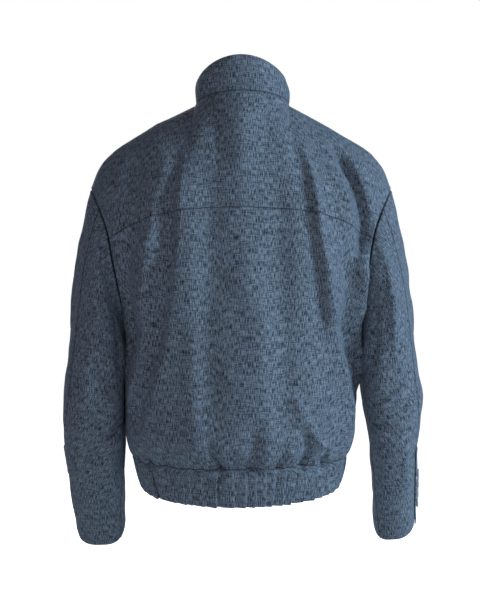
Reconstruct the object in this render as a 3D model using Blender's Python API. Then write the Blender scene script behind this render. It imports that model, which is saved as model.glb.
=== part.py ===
"""Blouson jacket in its worn, filled-out form: stand collar, back yoke, two-piece sleeves, gathered hem band.

Metres, +Z up. The jacket faces -Y, so the wearer's left side is at +X. The origin is the middle of the neck
opening, level with the top of the shoulders, where the wearer's neck and shoulders hold the jacket.
Every cut piece is a cloth wall: a grid of outer points, the same grid moved in by the cloth's thickness, and
a rim. Pieces that are sewn together share the points and the slant of their seam, and stand a seam gap apart.
"""

import math
from collections import namedtuple

import bmesh
import bpy
import numpy as np
from mathutils import Matrix, Vector

# Driving sizes
CLOTH = 0.0020
DOUBLE_CLOTH = 0.0026
SEAM_GAP = 0.0003
NECK_HALF_WIDTH = 0.069
BUTTON_RADIUS = 0.0075
BUTTON_HEIGHT = 0.0032
CUFF_BUTTONS = 4
BUTTON_PITCH = 0.0168
FIRST_BUTTON_UP = 0.030
PLACKET_HALF_WIDTH = 0.024

# Columns of the grids, counted over half of the back
GATHERS = 24
NECK_COLUMNS = 10
NECK_SHARE = 0.37
FRONT_COLUMNS = 12
YOKE_ROWS = 7
FRONT_TOP_ROWS = 8
CAP_ROWS = 6

# Sections of the body from the hem seam up: the depth and height of the piece's middle, the place of its
# side edge, and how far the section has turned there, in degrees. Depth is along Y, across along X.
Section = namedtuple("Section", "name mid_depth mid_height edge_across edge_depth edge_height turn")
BACK_SECTIONS = (
    Section("hem seam", 0.116, -0.541, 0.1600, 0.000, -0.526, 90),
    Section("blouse over the band", 0.137, -0.514, 0.1700, 0.000, -0.500, 90),
    Section("low waist", 0.141, -0.470, 0.1720, 0.000, -0.460, 90),
    Section("waist", 0.138, -0.418, 0.1725, 0.000, -0.412, 90),
    Section("armpit", 0.134, -0.360, 0.1665, 0.000, -0.354, 90),
    Section("low armhole", 0.131, -0.305, 0.176, 0.046, -0.300, 72),
    Section("middle armhole", 0.126, -0.240, 0.186, 0.062, -0.250, 58),
    Section("yoke seam", 0.117, -0.168, 0.193, 0.063, -0.212, 50),
)
FRONT_SECTIONS = (
    Section("hem seam", -0.106, -0.511, 0.1600, 0.000, -0.526, 90),
    Section("blouse over the band", -0.122, -0.490, 0.1700, 0.000, -0.500, 90),
    Section("low waist", -0.126, -0.454, 0.1720, 0.000, -0.460, 90),
    Section("waist", -0.124, -0.408, 0.1725, 0.000, -0.412, 90),
    Section("armpit", -0.120, -0.352, 0.1665, 0.000, -0.354, 90),
    Section("low armhole", -0.114, -0.290, 0.172, -0.044, -0.305, 72),
    Section("chest line", -0.105, -0.215, 0.179, -0.058, -0.245, 58),
)
BAND_BACK = Section("band edge", 0.108, -0.597, 0.1485, 0.000, -0.573, 90)
BAND_FRONT = Section("band edge", -0.099, -0.558, 0.1485, 0.000, -0.573, 90)
BAND_ROWS = (0, 0.33, 0.67, 1)
ARMPIT = 4
ROWS_TO_ARMPIT = (0, 0.33, 0.67, 1, 1.5, 2, 2.5, 3, 3.5, 4)
BACK_ROWS = ROWS_TO_ARMPIT + (4.5, 5, 5.5, 6, 7)
FRONT_ROWS = ROWS_TO_ARMPIT + (4.5, 5, 5.5, 6)

# The shoulder line from the side of the neck to the shoulder tip
Ridge = namedtuple("Ridge", "across depth height")
SHOULDER = (
    Ridge(0.069, -0.004, -0.008),
    Ridge(0.100, -0.004, -0.024),
    Ridge(0.135, -0.004, -0.043),
    Ridge(0.168, -0.005, -0.062),
    Ridge(0.193, -0.005, -0.080),
    Ridge(0.213, -0.006, -0.103),
    Ridge(0.2255, -0.006, -0.134),
)

# The neck seam and the collar's top edge, each a ring through its back, side and front points
Ring = namedtuple("Ring", "half_width back_y back_z side_y side_z front_y front_z back_bend front_bend")
NECK_SEAM = Ring(NECK_HALF_WIDTH, 0.066, 0.0055, -0.004, -0.008, -0.085, -0.060, 1.0, 1.1)
COLLAR_TOP = Ring(0.0650, 0.069, 0.0575, -0.006, 0.033, -0.080, -0.016, 1.75, 1.2)
COLLAR_SWELL = 0.004

# Sleeve sections below the cap: the inner and outer reach of the ring, how far its inner side is dented to
# clear the body, its middle depth and half depth, how far its back hangs below its front, and where the hind
# and fore seams lie, in degrees from the inner point round by the back.
Arm = namedtuple("Arm", "inner outer inner_z outer_z dent depth half_depth back_drop hind fore")
LEFT_ARM = (
    Arm(0.1680, 0.2550, -0.386, -0.325, 0.0110, -0.002, 0.070, 0.000, 136, -35),
    Arm(0.1695, 0.2625, -0.432, -0.392, 0.0110, 0.004, 0.068, 0.000, 137, -28),
    Arm(0.1710, 0.2685, -0.478, -0.455, 0.0090, 0.006, 0.064, 0.003, 141, -12),
    Arm(0.1755, 0.2675, -0.532, -0.518, 0.0030, -0.008, 0.059, 0.010, 172, 12),
    Arm(0.1795, 0.2630, -0.590, -0.578, 0.0000, -0.030, 0.053, 0.015, 190, 34),
    Arm(0.1815, 0.2525, -0.651, -0.654, 0.0000, -0.056, 0.047, 0.017, 195, 32),
)
RIGHT_ARM = (
    Arm(0.1745, 0.2520, -0.388, -0.325, 0.0040, -0.002, 0.070, 0.000, 141, -35),
    Arm(0.1735, 0.2600, -0.432, -0.392, 0.0060, 0.004, 0.068, 0.000, 139, -26),
    Arm(0.1810, 0.2680, -0.478, -0.455, 0.0040, 0.006, 0.064, 0.003, 138, -8),
    Arm(0.1920, 0.2600, -0.532, -0.518, 0.0000, -0.008, 0.059, 0.010, 150, 15),
    Arm(0.1965, 0.2610, -0.590, -0.575, 0.0000, -0.030, 0.053, 0.015, 154, 33),
    Arm(0.2010, 0.2630, -0.648, -0.636, 0.0000, -0.056, 0.047, 0.019, 158, 48),
)
ARM_ROWS = (0.5, 1, 1.5, 2, 2.5, 3, 3.5, 4, 4.5, 5)
VENT_ROWS = 4
VENT_COLUMNS = 3
ARMHOLE_POINTS = 24
HIND_SEAM = 8
FORE_SEAM = 21
DENT_DEPTH = 0.027

# How far the jacket has slipped to the wearer's left, by height. Its hem also hangs lower on that side.
Lean = namedtuple("Lean", "height shift")
LEANS = (
    Lean(0.050, 0.0030),
    Lean(0.020, 0.0010),
    Lean(0.000, -0.0008),
    Lean(-0.020, 0.0025),
    Lean(-0.040, 0.0045),
    Lean(-0.070, 0.0030),
    Lean(-0.200, 0.0030),
    Lean(-0.450, 0.0035),
    Lean(-0.525, 0.0055),
    Lean(-0.575, 0.0035),
)
HEM_TILT = 0.012

# Large drape folds. Each runs through three points of the body, given in degrees round from the centre back
# towards the wearer's left and in height. It stands out by its rise, or in where that is negative, and falls
# away over its widths towards the centre back and the centre front.
Fold = namedtuple("Fold", "name top_angle top_z mid_angle mid_z low_angle low_z rise back_width front_width")
FOLDS = (
    Fold("left blade fold", 35, -0.120, 37, -0.330, 60, -0.500, 0.008, 0.030, 0.014),
    Fold("left side fold", 50, -0.190, 56, -0.357, 72, -0.490, 0.006, 0.018, 0.012),
    Fold("left shoulder trough", 48, -0.070, 42, -0.120, 39, -0.200, -0.004, 0.014, 0.020),
    Fold("middle left ridge", 25, -0.150, 22, -0.330, 18, -0.520, 0.004, 0.018, 0.018),
    Fold("middle trough", 5, -0.180, 5, -0.330, 7, -0.500, -0.003, 0.020, 0.020),
    Fold("middle right ridge", -10, -0.170, -12, -0.330, -17, -0.520, 0.004, 0.020, 0.020),
    Fold("right blade trough", -38, -0.080, -35, -0.200, -37, -0.330, -0.005, 0.016, 0.012),
    Fold("right blade fold", -39, -0.150, -46, -0.310, -64, -0.495, 0.010, 0.022, 0.013),
    Fold("right shoulder trough", -68, -0.075, -64, -0.130, -60, -0.205, -0.006, 0.014, 0.012),
    Fold("right side fold", -66, -0.240, -70, -0.320, -71, -0.415, 0.007, 0.020, 0.018),
    Fold("left chest fold", 139, -0.120, 137, -0.300, 125, -0.490, 0.006, 0.016, 0.024),
    Fold("left front ridge", 157, -0.160, 156, -0.330, 154, -0.490, 0.004, 0.018, 0.018),
    Fold("right chest fold", -138, -0.130, -135, -0.310, -124, -0.490, 0.007, 0.016, 0.022),
    Fold("right front ridge", -156, -0.180, -157, -0.330, -153, -0.490, 0.004, 0.020, 0.020),
)
BODY_HALF_WIDTH = 0.172
BODY_HALF_DEPTH = 0.138
BODY_RADIUS = 0.155

# The gathers of the hem band: where each valley lies, in degrees round from the centre back towards the
# wearer's left, and how deep it is against the ridges beside it.
Pleat = namedtuple("Pleat", "angle depth")
PLEATS = (
    Pleat(-82, 0.0030),
    Pleat(-74, 0.0045),
    Pleat(-66, 0.0050),
    Pleat(-59, 0.0060),
    Pleat(-52, 0.0060),
    Pleat(-46, 0.0055),
    Pleat(-40, 0.0060),
    Pleat(-33, 0.0060),
    Pleat(-27, 0.0060),
    Pleat(-20, 0.0055),
    Pleat(-12, 0.0060),
    Pleat(-3, 0.0060),
    Pleat(5, 0.0030),
    Pleat(12, 0.0070),
    Pleat(18, 0.0035),
    Pleat(24, 0.0055),
    Pleat(30, 0.0035),
    Pleat(36, 0.0060),
    Pleat(42, 0.0045),
    Pleat(49, 0.0045),
    Pleat(57, 0.0065),
    Pleat(65, 0.0025),
    Pleat(73, 0.0015),
    Pleat(82, 0.0010),
)
GATHER_FADE = 0.026


def through(rows, at):
    """The columns at a fractional row number, on a smooth curve through the rows (Catmull-Rom)."""
    table = np.array(rows, float)
    before = 2 * table[0] - table[1]
    after = 2 * table[-1] - table[-2]
    table = np.vstack([before, table, after])
    k = min(int(at), len(rows) - 2)
    f = at - k
    a, b, c, d = table[k : k + 4]
    return 0.5 * (2 * b + (c - a) * f + (2 * a - 5 * b + 4 * c - d) * f**2 + (3 * b - a - 3 * c + d) * f**3)


def section_at(sections, at):
    """The section at a fractional row number, without its name."""
    values = through([row[1:] for row in sections], at)
    return Section("", *values)


def across(section, share):
    """The point of a section at a share of the way from its middle to its side edge."""
    turn = math.radians(section.turn)
    x = section.edge_across * math.sin(turn * share) / math.sin(turn)
    fall = (math.cos(turn * share) - math.cos(turn)) / (1 - math.cos(turn))
    y = section.edge_depth + (section.mid_depth - section.edge_depth) * max(fall, 0) ** 0.85
    z = section.mid_height + (section.edge_height - section.mid_height) * share**2.6
    return np.array([x, y, z])


def ring_point(ring, share):
    """A point of a neck ring at a share of the way from the centre back, 0, by the side to the centre front, 1."""
    angle = math.pi * share
    towards = math.cos(angle)
    if towards > 0:
        end_y, end_z, bend = ring.back_y, ring.back_z, ring.back_bend
    else:
        end_y, end_z, bend = ring.front_y, ring.front_z, ring.front_bend
    y = ring.side_y + (end_y - ring.side_y) * abs(towards)
    z = ring.side_z + (end_z - ring.side_z) * abs(towards) ** bend
    return np.array([ring.half_width * math.sin(angle), y, z])


def shoulder_point(share):
    """A point of the shoulder line at a share of the way from the neck to the shoulder tip."""
    return through(SHOULDER, share * (len(SHOULDER) - 1))


def pleat_share(column):
    """How far across the hem a column lies: a valley at each odd column, a ridge midway at each even one."""
    angles = [-90] + [pleat.angle for pleat in PLEATS] + [90]
    places = {-GATHERS: -90, GATHERS: 90, 0: 0}
    for k in range(1, len(angles) - 1):
        places[2 * k - 1 - GATHERS] = angles[k]
    for k in range(2 - GATHERS, GATHERS, 2):
        places.setdefault(k, (places[k - 1] + places[k + 1]) / 2)
    low, high = math.floor(column), math.ceil(column)
    towards_valley = 0.66 if low % 2 == 0 else 0.34
    return (places[low] + (places[high] - places[low]) * towards_valley) / 90


def back_share(column, row):
    """How far across the back a column lies at a row: at its gather on the hem, evenly spaced at the yoke."""
    k = abs(column)
    if k <= NECK_COLUMNS:
        even = NECK_SHARE * k / NECK_COLUMNS
    else:
        even = NECK_SHARE + (1 - NECK_SHARE) * (k - NECK_COLUMNS) / (GATHERS - NECK_COLUMNS)
    to_hem = max(1 - row / 5, 0) ** 1.5
    return even + (abs(pleat_share(column)) - even) * to_hem


def gather(column):
    """The gathers' height at a column: under the middle line in a valley, over it on a ridge."""
    if abs(column) >= GATHERS:
        return 0
    depths = [pleat.depth for pleat in PLEATS]
    k = (column + GATHERS - 1) / 2
    if column % 2 == 1:
        return -0.6 * depths[int(k)]
    if column % 2 == 0:
        return 0.4 * min(depths[int(k)], depths[int(k) + 1])
    nearest = min(max(round(k), 0), len(depths) - 1)
    return 0.15 * depths[nearest]


def curve(start, leave, end, arrive, f):
    """A Hermite curve: from start along leave, to end along arrive."""
    return (
        (2 * f**3 - 3 * f**2 + 1) * start
        + (f**3 - 2 * f**2 + f) * leave
        + (3 * f**2 - 2 * f**3) * end
        + (f**3 - f**2) * arrive
    )


def unit(v):
    return v / np.linalg.norm(v, axis=-1, keepdims=True)


def top_rows(sections, share, edge_point, depth_sign, over_shoulder, rows):
    """The points above the last section, curving over to a point of the neck seam or the shoulder line."""
    last = len(sections) - 1
    start = across(sections[last], share)
    rising = unit(across(section_at(sections, last), share) - across(section_at(sections, last - 0.2), share))
    at_neck = np.array([0.0, -0.55 * depth_sign, 0.85])
    at_shoulder = np.array([0.0, -1.0 * depth_sign, 0.02])
    arriving = unit(at_neck * (1 - over_shoulder) + at_shoulder * over_shoulder)
    reach = np.linalg.norm(edge_point - start)
    return [
        curve(start, rising * reach, edge_point, arriving * reach * 0.9, f)
        for f in np.linspace(0, 1, rows + 1)[1:]
    ]


def mirrored(points, side):
    """The points on the wearer's left, side +1, or right, side -1."""
    return np.array(points) * np.array([side, 1, 1])


def back_column(column):
    """One column of points up the back: below the yoke seam, and the yoke above it."""
    side = -1 if column < 0 else 1
    share = back_share(column, len(BACK_SECTIONS) - 1)
    lower = [across(section_at(BACK_SECTIONS, r), back_share(column, r)) for r in BACK_ROWS]
    k = abs(column)
    if k <= NECK_COLUMNS:
        edge_point = ring_point(NECK_SEAM, 0.5 * k / NECK_COLUMNS)
    else:
        edge_point = shoulder_point((k - NECK_COLUMNS) / (GATHERS - NECK_COLUMNS))
    over_shoulder = min(max((k / NECK_COLUMNS - 0.4) / 0.7, 0), 1)
    upper = [lower[-1]] + top_rows(BACK_SECTIONS, share, edge_point, 1, over_shoulder, YOKE_ROWS)
    return mirrored(lower, side), mirrored(upper, side)


def front_share(column):
    """How far across a front a column lies. Column 1 is the edge of the placket."""
    placket_share = PLACKET_HALF_WIDTH / 0.165 * 2 / math.pi
    if column <= 1:
        return placket_share * column
    return placket_share + (1 - placket_share) * (column - 1) / (FRONT_COLUMNS - 1)


def front_column(column, side):
    """One column of points up a front, from the hem seam to the neck seam or the shoulder line."""
    share = front_share(column)
    neck_columns = FRONT_COLUMNS * NECK_COLUMNS / GATHERS
    lower = [across(section_at(FRONT_SECTIONS, r), share) for r in FRONT_ROWS]
    if column <= neck_columns:
        edge_point = ring_point(NECK_SEAM, 1 - 0.5 * column / neck_columns)
    else:
        edge_point = shoulder_point((column - neck_columns) / (FRONT_COLUMNS - neck_columns))
    over_shoulder = min(max((column / neck_columns - 0.5) / 0.9, 0), 1)
    upper = top_rows(FRONT_SECTIONS, share, edge_point, -1, over_shoulder, FRONT_TOP_ROWS)
    return mirrored(lower + upper, side)


def grid_normals(grid):
    """Unit normals of a grid, pointing along columns cross rows."""
    along = np.gradient(grid, axis=1)
    up = np.gradient(grid, axis=0)
    return unit(np.cross(along, up))


def fold_rise(grid):
    """How far the folds raise each point of a grid of the body."""
    x, y, z = grid[..., 0], grid[..., 1], grid[..., 2]
    angle = np.arctan2(x / BODY_HALF_WIDTH, y / BODY_HALF_DEPTH)
    total = np.zeros_like(z)
    for fold in FOLDS:
        heights = (fold.top_z, fold.mid_z, fold.low_z)
        line = np.polyfit(heights, np.radians((fold.top_angle, fold.mid_angle, fold.low_angle)), 2)
        off = (angle - np.polyval(line, z)) * math.copysign(BODY_RADIUS, fold.mid_angle)
        width = np.where(off > 0, fold.front_width, fold.back_width)
        length = fold.top_z - fold.low_z
        from_top = np.clip((fold.top_z - z) / (0.3 * length), 0, 1)
        from_low = np.clip((z - fold.low_z) / (0.2 * length), 0, 1)
        fade = from_top**2 * (3 - 2 * from_top) * from_low**2 * (3 - 2 * from_low)
        total += fold.rise * fade * np.exp(-((off / width) ** 2))
    return total


def draped(grid, outward, held):
    """The grid with its folds raised along its normals. held is 0 on a row or column that a seam keeps."""
    return grid + grid_normals(grid) * (outward * fold_rise(grid) * held)[..., None]


def leaned(grid):
    """The grid with the jacket's lean towards the wearer's left, and its hem tilted down on that side."""
    heights, shifts = np.array(LEANS[::-1]).T
    shift = np.interp(grid[..., 2], heights, shifts)
    near_hem = np.clip((-0.45 - grid[..., 2]) / 0.1, 0, 1)
    return grid + np.stack([shift, np.zeros_like(shift), -HEM_TILT * grid[..., 0] * near_hem], axis=-1)


def body_grids():
    """The outer points of the back, the yoke, the two fronts and the three parts of the hem band."""
    columns = range(-GATHERS, GATHERS + 1)
    pairs = [back_column(k) for k in columns]
    back = np.stack([lower for lower, _ in pairs], axis=1)
    yoke = np.stack([upper for _, upper in pairs], axis=1)
    wave = np.array([gather(k) for k in columns])
    whole = np.concatenate([back, yoke[1:]], axis=0)
    held = np.ones(whole.shape[:2])
    held[:, 0] = held[:, -1] = held[-1] = 0
    # Columns run from -X to +X here, so columns cross rows points into the jacket.
    whole = draped(whole, -1, held)
    above_seam = whole[..., 2] - whole[0, :, 2]
    rise = wave[None, :] * np.exp(-above_seam / GATHER_FADE)
    whole = whole - grid_normals(whole) * rise[..., None]
    back = whole[: len(BACK_ROWS)]
    yoke = whole[len(BACK_ROWS) - 1 :, ::2]

    fronts = {}
    for side in (1, -1):
        grid = np.stack([front_column(k, side) for k in range(FRONT_COLUMNS + 1)], axis=1)
        held = np.ones(grid.shape[:2])
        held[:, :2] = held[:, -1] = held[-1] = 0
        fronts[side] = draped(grid, side, held)
        edge = -1 if side > 0 else 0
        rows = slice(0, len(ROWS_TO_ARMPIT))
        side_seam = (back[rows, edge] + fronts[side][rows, -1]) / 2
        back[rows, edge] = fronts[side][rows, -1] = side_seam

    bands = {"back": band_back_grid(back)}
    for side in (1, -1):
        bands[side] = band_front_grid(fronts[side], side)
    return back, yoke, fronts, bands


def band_point(top, low, share, f, depth_sign, gathered):
    """A point of the hem band at a share across and a share f of the way down from the hem seam."""
    upper, edge = across(top, share), across(low, share)
    edge[2] = low.mid_height + (low.edge_height - low.mid_height) * share**1.8
    turn = math.radians(90 * share)
    out = np.array([math.sin(turn), depth_sign * math.cos(turn), 0])
    return upper + (edge - upper) * f + out * (0.002 * math.sin(math.pi * f) + gathered)


def band_back_grid(back):
    """The gathered band: its top row is the body's hem seam, with a point added between each two columns."""
    columns = np.arange(-GATHERS, GATHERS + 0.5, 0.5)
    seam = np.empty((len(columns), 3))
    seam[::2] = back[0]
    seam[1::2] = (back[0][:-1] + back[0][1:]) / 2
    rows = [seam]
    for f in BAND_ROWS[1:]:
        row = []
        for column in columns:
            point = band_point(BACK_SECTIONS[0], BAND_BACK, back_share(column, 0), f, 1, gather(column))
            row.append(point * np.array([-1 if column < 0 else 1, 1, 1]))
        rows.append(np.array(row))
    return np.stack(rows[::-1], axis=0)


def band_front_grid(front, side):
    """The plain band below one front."""
    rows = [front[0]]
    for f in BAND_ROWS[1:]:
        shares = [front_share(k) for k in range(FRONT_COLUMNS + 1)]
        row = [band_point(FRONT_SECTIONS[0], BAND_FRONT, share, f, -1, 0) for share in shares]
        rows.append(mirrored(row, side))
    return np.stack(rows[::-1], axis=0)


def collar_grid():
    """The stand collar from one end at the centre front, round the back, to the other."""
    columns = 2 * NECK_COLUMNS
    rows = []
    for f in (0, 0.25, 0.5, 0.75, 1.0):
        row = []
        for k in range(-columns, columns + 1):
            side = -1 if k < 0 else 1
            share = abs(k) / columns
            low = ring_point(NECK_SEAM, share)
            top = ring_point(COLLAR_TOP, share * (1 - 0.012 * f))
            out = np.array([math.sin(math.pi * share), math.cos(math.pi * share), 0])
            swell = out * COLLAR_SWELL * math.sin(math.pi * f) * math.sin(math.pi * share)
            row.append((low + (top - low) * f + swell) * np.array([side, 1, 1]))
        rows.append(row)
    grid = np.array(rows)
    grid[0, 1::2] = (grid[0, :-1:2] + grid[0, 2::2]) / 2
    return grid


def arm_point(arms, at, angle):
    """A point of the sleeve at a fractional section number and an angle in degrees from its inner point."""
    arm = Arm(*through(arms, at))
    turn = math.radians(angle)
    half = (arm.outer - arm.inner) / 2
    inward = math.cos(turn)
    backward = math.sin(turn)
    y = arm.half_depth * math.copysign(abs(backward) ** 0.95, backward)
    if inward > 0:
        x = -half * inward**0.55 + arm.dent * math.exp(-((y / DENT_DEPTH) ** 2))
    else:
        x = half * (-inward) ** 0.9
    z = (arm.inner_z + arm.outer_z) / 2 + (arm.inner_z - arm.outer_z) / 2 * inward - arm.back_drop * backward
    return np.array([(arm.inner + arm.outer) / 2 + x, arm.depth + y, z])


def arm_angle(arms, at, j):
    """The angle of a column of the sleeve: the hind and fore seams keep their own columns all the way down."""
    arm = Arm(*through(arms, at))
    under = HIND_SEAM + ARMHOLE_POINTS - FORE_SEAM
    if j <= HIND_SEAM:
        return arm.fore + (arm.hind - arm.fore) * (j + ARMHOLE_POINTS - FORE_SEAM) / under
    return arm.hind + (arm.fore + 360 - arm.hind) * (j - HIND_SEAM) / (FORE_SEAM - HIND_SEAM)


def armhole(back, yoke, front, side):
    """The armhole's points from the armpit up the back, over the shoulder tip and down the front."""
    edge = -1 if side > 0 else 0
    armpit_row = len(ROWS_TO_ARMPIT) - 1
    up_back = list(back[armpit_row:, edge]) + list(yoke[1:, edge])
    down_front = list(front[armpit_row:, -1])[::-1]
    return np.array(up_back + down_front[1:])


def sleeve_column(arms, loop, j, side):
    """One column of points down a sleeve, from the armhole to the cuff."""
    start = loop[j % ARMHOLE_POINTS]
    end = mirrored(arm_point(arms, 0, arm_angle(arms, 0, j)), side)
    below = mirrored(arm_point(arms, 0.25, arm_angle(arms, 0.25, j)), side)
    around = 2 * math.pi * j / ARMHOLE_POINTS
    over = (1 - math.cos(around)) / 2
    leave = unit(np.array([side * (0.62 - 0.42 * over), 0.22 * math.sin(around), -0.80]))
    reach = np.linalg.norm(end - start)
    cap = [
        curve(start, leave * reach, end, unit(below - end) * reach, f) for f in np.linspace(0, 1, CAP_ROWS + 1)
    ]
    lower = [mirrored(arm_point(arms, at, arm_angle(arms, at, j)), side) for at in ARM_ROWS]
    return cap + lower


def sleeve_grids(arms, loop, side):
    """The under sleeve and the upper sleeve, cuff at row 0."""
    under = [sleeve_column(arms, loop, j, side) for j in range(FORE_SEAM - ARMHOLE_POINTS, HIND_SEAM + 1)]
    upper = [sleeve_column(arms, loop, j, side) for j in range(HIND_SEAM, FORE_SEAM + 1)]
    return np.stack(under, axis=1)[::-1], np.stack(upper, axis=1)[::-1]


def facing(grid, inside):
    """1 if columns cross rows points away from the inside points, -1 if it points at them."""
    return 1 if (grid_normals(grid) * (grid - inside)).sum() > 0 else -1


def seam_key(point):
    return tuple(np.round(point * 50000).astype(int))


def group_of(name):
    """Pieces of one group run smoothly into each other at their seams; groups meet at an angle."""
    for word in ("sleeve_left", "sleeve_right", "collar", "hem_band"):
        if word in name:
            return word
    return "body"


def outward_directions(grids, facings):
    """Each point's outward direction, the same for all pieces at a seam, and longer where groups meet at an
    angle, so that a wall keeps its thickness there."""
    sums = {}
    for name, grid in grids.items():
        rows, columns = grid.shape[:2]
        for i in range(rows - 1):
            for k in range(columns - 1):
                a, b, c, d = grid[i, k], grid[i, k + 1], grid[i + 1, k + 1], grid[i + 1, k]
                normal = np.cross(c - a, d - b) * facings[name]
                for corner in (a, b, c, d):
                    groups = sums.setdefault(seam_key(corner), {})
                    groups[group_of(name)] = groups.get(group_of(name), 0) + normal
    directions = {}
    for name, grid in grids.items():
        directions[name] = np.empty_like(grid)
        for place in np.ndindex(grid.shape[:2]):
            groups = {group: unit(total) for group, total in sums[seam_key(grid[place])].items()}
            shared = unit(sum(groups.values()))
            directions[name][place] = shared / max(shared @ groups[group_of(name)], 0.6)
    return directions


def ease_neck_seam(grids, directions):
    """Even out the directions along the collar's seam, in the collar and in the pieces it is sewn to."""
    row = directions["collar"][0]
    eased = row.copy()
    for _ in range(3):
        eased[2:-2:2] = (eased[:-4:2] + 2 * eased[2:-2:2] + eased[4::2]) / 4
    shared = {seam_key(point): slant for point, slant in zip(grids["collar"][0, ::2], eased[::2])}
    for name, grid in grids.items():
        for place in np.ndindex(grid.shape[:2]):
            if seam_key(grid[place]) in shared:
                directions[name][place] = shared[seam_key(grid[place])]


def pulled_in(grid, directions):
    """The grid with its four sides moved into the piece, so that rims of neighbours stand a seam gap apart."""
    moved = grid.copy()
    for turned in (False, True):
        view, target, outward = (np.swapaxes(g, 0, 1) if turned else g for g in (grid, moved, unit(directions)))
        for edge, inner in ((0, 1), (-1, -2)):
            along = unit(np.gradient(view[edge], axis=0))
            into = view[inner] - view[edge]
            into = unit(into - (into * along).sum(axis=-1, keepdims=True) * along)
            clear = into - (into * outward[edge]).sum(axis=-1, keepdims=True) * outward[edge]
            clear = np.maximum(np.linalg.norm(clear, axis=-1, keepdims=True), 0.4)
            target[edge] += into * (SEAM_GAP / 2) / clear
    return moved


def evened(row):
    """A row whose odd points lie midway between their neighbours, as on a seam with half as many points."""
    row[1::2] = (row[:-1:2] + row[2::2]) / 2


def cloth_material(name, colour, roughness, metallic=0.0):
    material = bpy.data.materials.new(name)
    material.use_nodes = True
    shader = material.node_tree.nodes["Principled BSDF"]
    shader.inputs["Base Color"].default_value = (*colour, 1)
    shader.inputs["Roughness"].default_value = roughness
    shader.inputs["Metallic"].default_value = metallic
    return material


def add_object(name, mesh, material):
    mesh.materials.append(material)
    mesh.shade_smooth()
    mesh.set_sharp_from_angle(angle=math.radians(50))
    piece = bpy.data.objects.new(name, mesh)
    bpy.context.scene.collection.objects.link(piece)
    return piece


def halves(points, a, b, c, d):
    """The two triangles of a four-cornered cell, cut along its shorter diagonal."""
    if np.linalg.norm(points[a] - points[c]) < np.linalg.norm(points[b] - points[d]):
        return [(a, b, c), (a, c, d)]
    return [(a, b, d), (b, c, d)]


def wall(name, outer, inner, facing_sign, material):
    """A closed cloth wall between two grids of points, with a rim along its four sides. A cell is cut along the
    same diagonal on both faces of the cloth."""
    rows, columns = outer.shape[:2]
    count = rows * columns
    points = np.concatenate([outer.reshape(-1, 3), inner.reshape(-1, 3)])
    at = np.arange(count).reshape(rows, columns)
    faces = []
    for i in range(rows - 1):
        for k in range(columns - 1):
            for half in halves(points, at[i, k], at[i, k + 1], at[i + 1, k + 1], at[i + 1, k]):
                faces.append(half)
                faces.append([v + count for v in reversed(half)])
    border = list(at[0, :]) + list(at[1:, -1]) + list(at[-1, -2::-1]) + list(at[-2:0:-1, 0])
    for a, b in zip(border, border[1:] + border[:1]):
        faces.extend(halves(points, b, a, a + count, b + count))
    if facing_sign < 0:
        faces = [face[::-1] for face in faces]
    mesh = bpy.data.meshes.new(name)
    mesh.from_pydata(points.tolist(), [], [[int(v) for v in face] for face in faces])
    mesh.validate()
    return add_object(name, mesh, material)


def overlay(name, points, directions, facing_sign, material):
    """A strip that lies on the cloth: its grid is the cloth's own points, moved out."""
    inner = points + directions * SEAM_GAP
    return wall(name, inner + directions * CLOTH, inner, facing_sign, material)


def button(name, centre, normal, material):
    """A round sew-through button: a turned profile with a raised rim, standing on the cloth."""
    profile = (
        (0.0, 0.0),
        (BUTTON_RADIUS * 0.86, 0.0),
        (BUTTON_RADIUS, BUTTON_HEIGHT * 0.45),
        (BUTTON_RADIUS * 0.88, BUTTON_HEIGHT),
        (BUTTON_RADIUS * 0.66, BUTTON_HEIGHT * 0.68),
        (0.0, BUTTON_HEIGHT * 0.60),
    )
    shape = bmesh.new()
    corners = [shape.verts.new((r, 0, h)) for r, h in profile]
    edges = [shape.edges.new(pair) for pair in zip(corners, corners[1:])]
    bmesh.ops.spin(
        shape, geom=corners + edges, axis=(0, 0, 1), cent=(0, 0, 0), angle=2 * math.pi, steps=16, use_merge=True
    )
    bmesh.ops.remove_doubles(shape, verts=shape.verts, dist=0.00001)
    bmesh.ops.recalc_face_normals(shape, faces=shape.faces)
    mesh = bpy.data.meshes.new(name)
    shape.to_mesh(mesh)
    shape.free()
    piece = add_object(name, mesh, material)
    piece.matrix_world = Matrix.Translation(centre) @ Vector(normal).to_track_quat("Z", "Y").to_matrix().to_4x4()
    return piece


def cuff_button_places(arms, side):
    """The middle and outward direction of each button, in a row up the vent beside the hind seam."""
    last = len(arms) - 1
    foot = arm_point(arms, last, 0)
    step = np.linalg.norm(arm_point(arms, last - 1, 0) - foot)
    places = []
    for k in range(CUFF_BUTTONS):
        at = last - (FIRST_BUTTON_UP + k * BUTTON_PITCH) / step
        angle = arm_angle(arms, at, HIND_SEAM + 1)
        middle = arm_point(arms, at, angle)
        round_the_arm = arm_point(arms, at, angle + 4) - arm_point(arms, at, angle - 4)
        up_the_arm = arm_point(arms, at - 0.05, angle) - arm_point(arms, at + 0.05, angle)
        normal = unit(np.cross(up_the_arm, round_the_arm))
        centre = middle + normal * (2 * SEAM_GAP + CLOTH)
        places.append((mirrored(centre, side), mirrored(normal, side)))
    return places


def placket_points(outers, directions):
    """The fly placket's points and directions: one column of each front and the centre front, from the band's
    edge to below the neck."""
    sides = []
    for word in ("right", "left"):
        parts = ("hem_band_" + word, "front_" + word)
        points = np.concatenate([outers[name][:-1, :2] for name in parts])
        slants = np.concatenate([directions[name][:-1, :2] for name in parts])
        sides.append((points, slants))
    (right, right_slant), (left, left_slant) = sides
    points = np.stack([right[:, 1], (right[:, 0] + left[:, 0]) / 2, left[:, 1]], axis=1)
    slants = np.stack([right_slant[:, 1], (right_slant[:, 0] + left_slant[:, 0]) / 2, left_slant[:, 1]], axis=1)
    return points, slants


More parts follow.
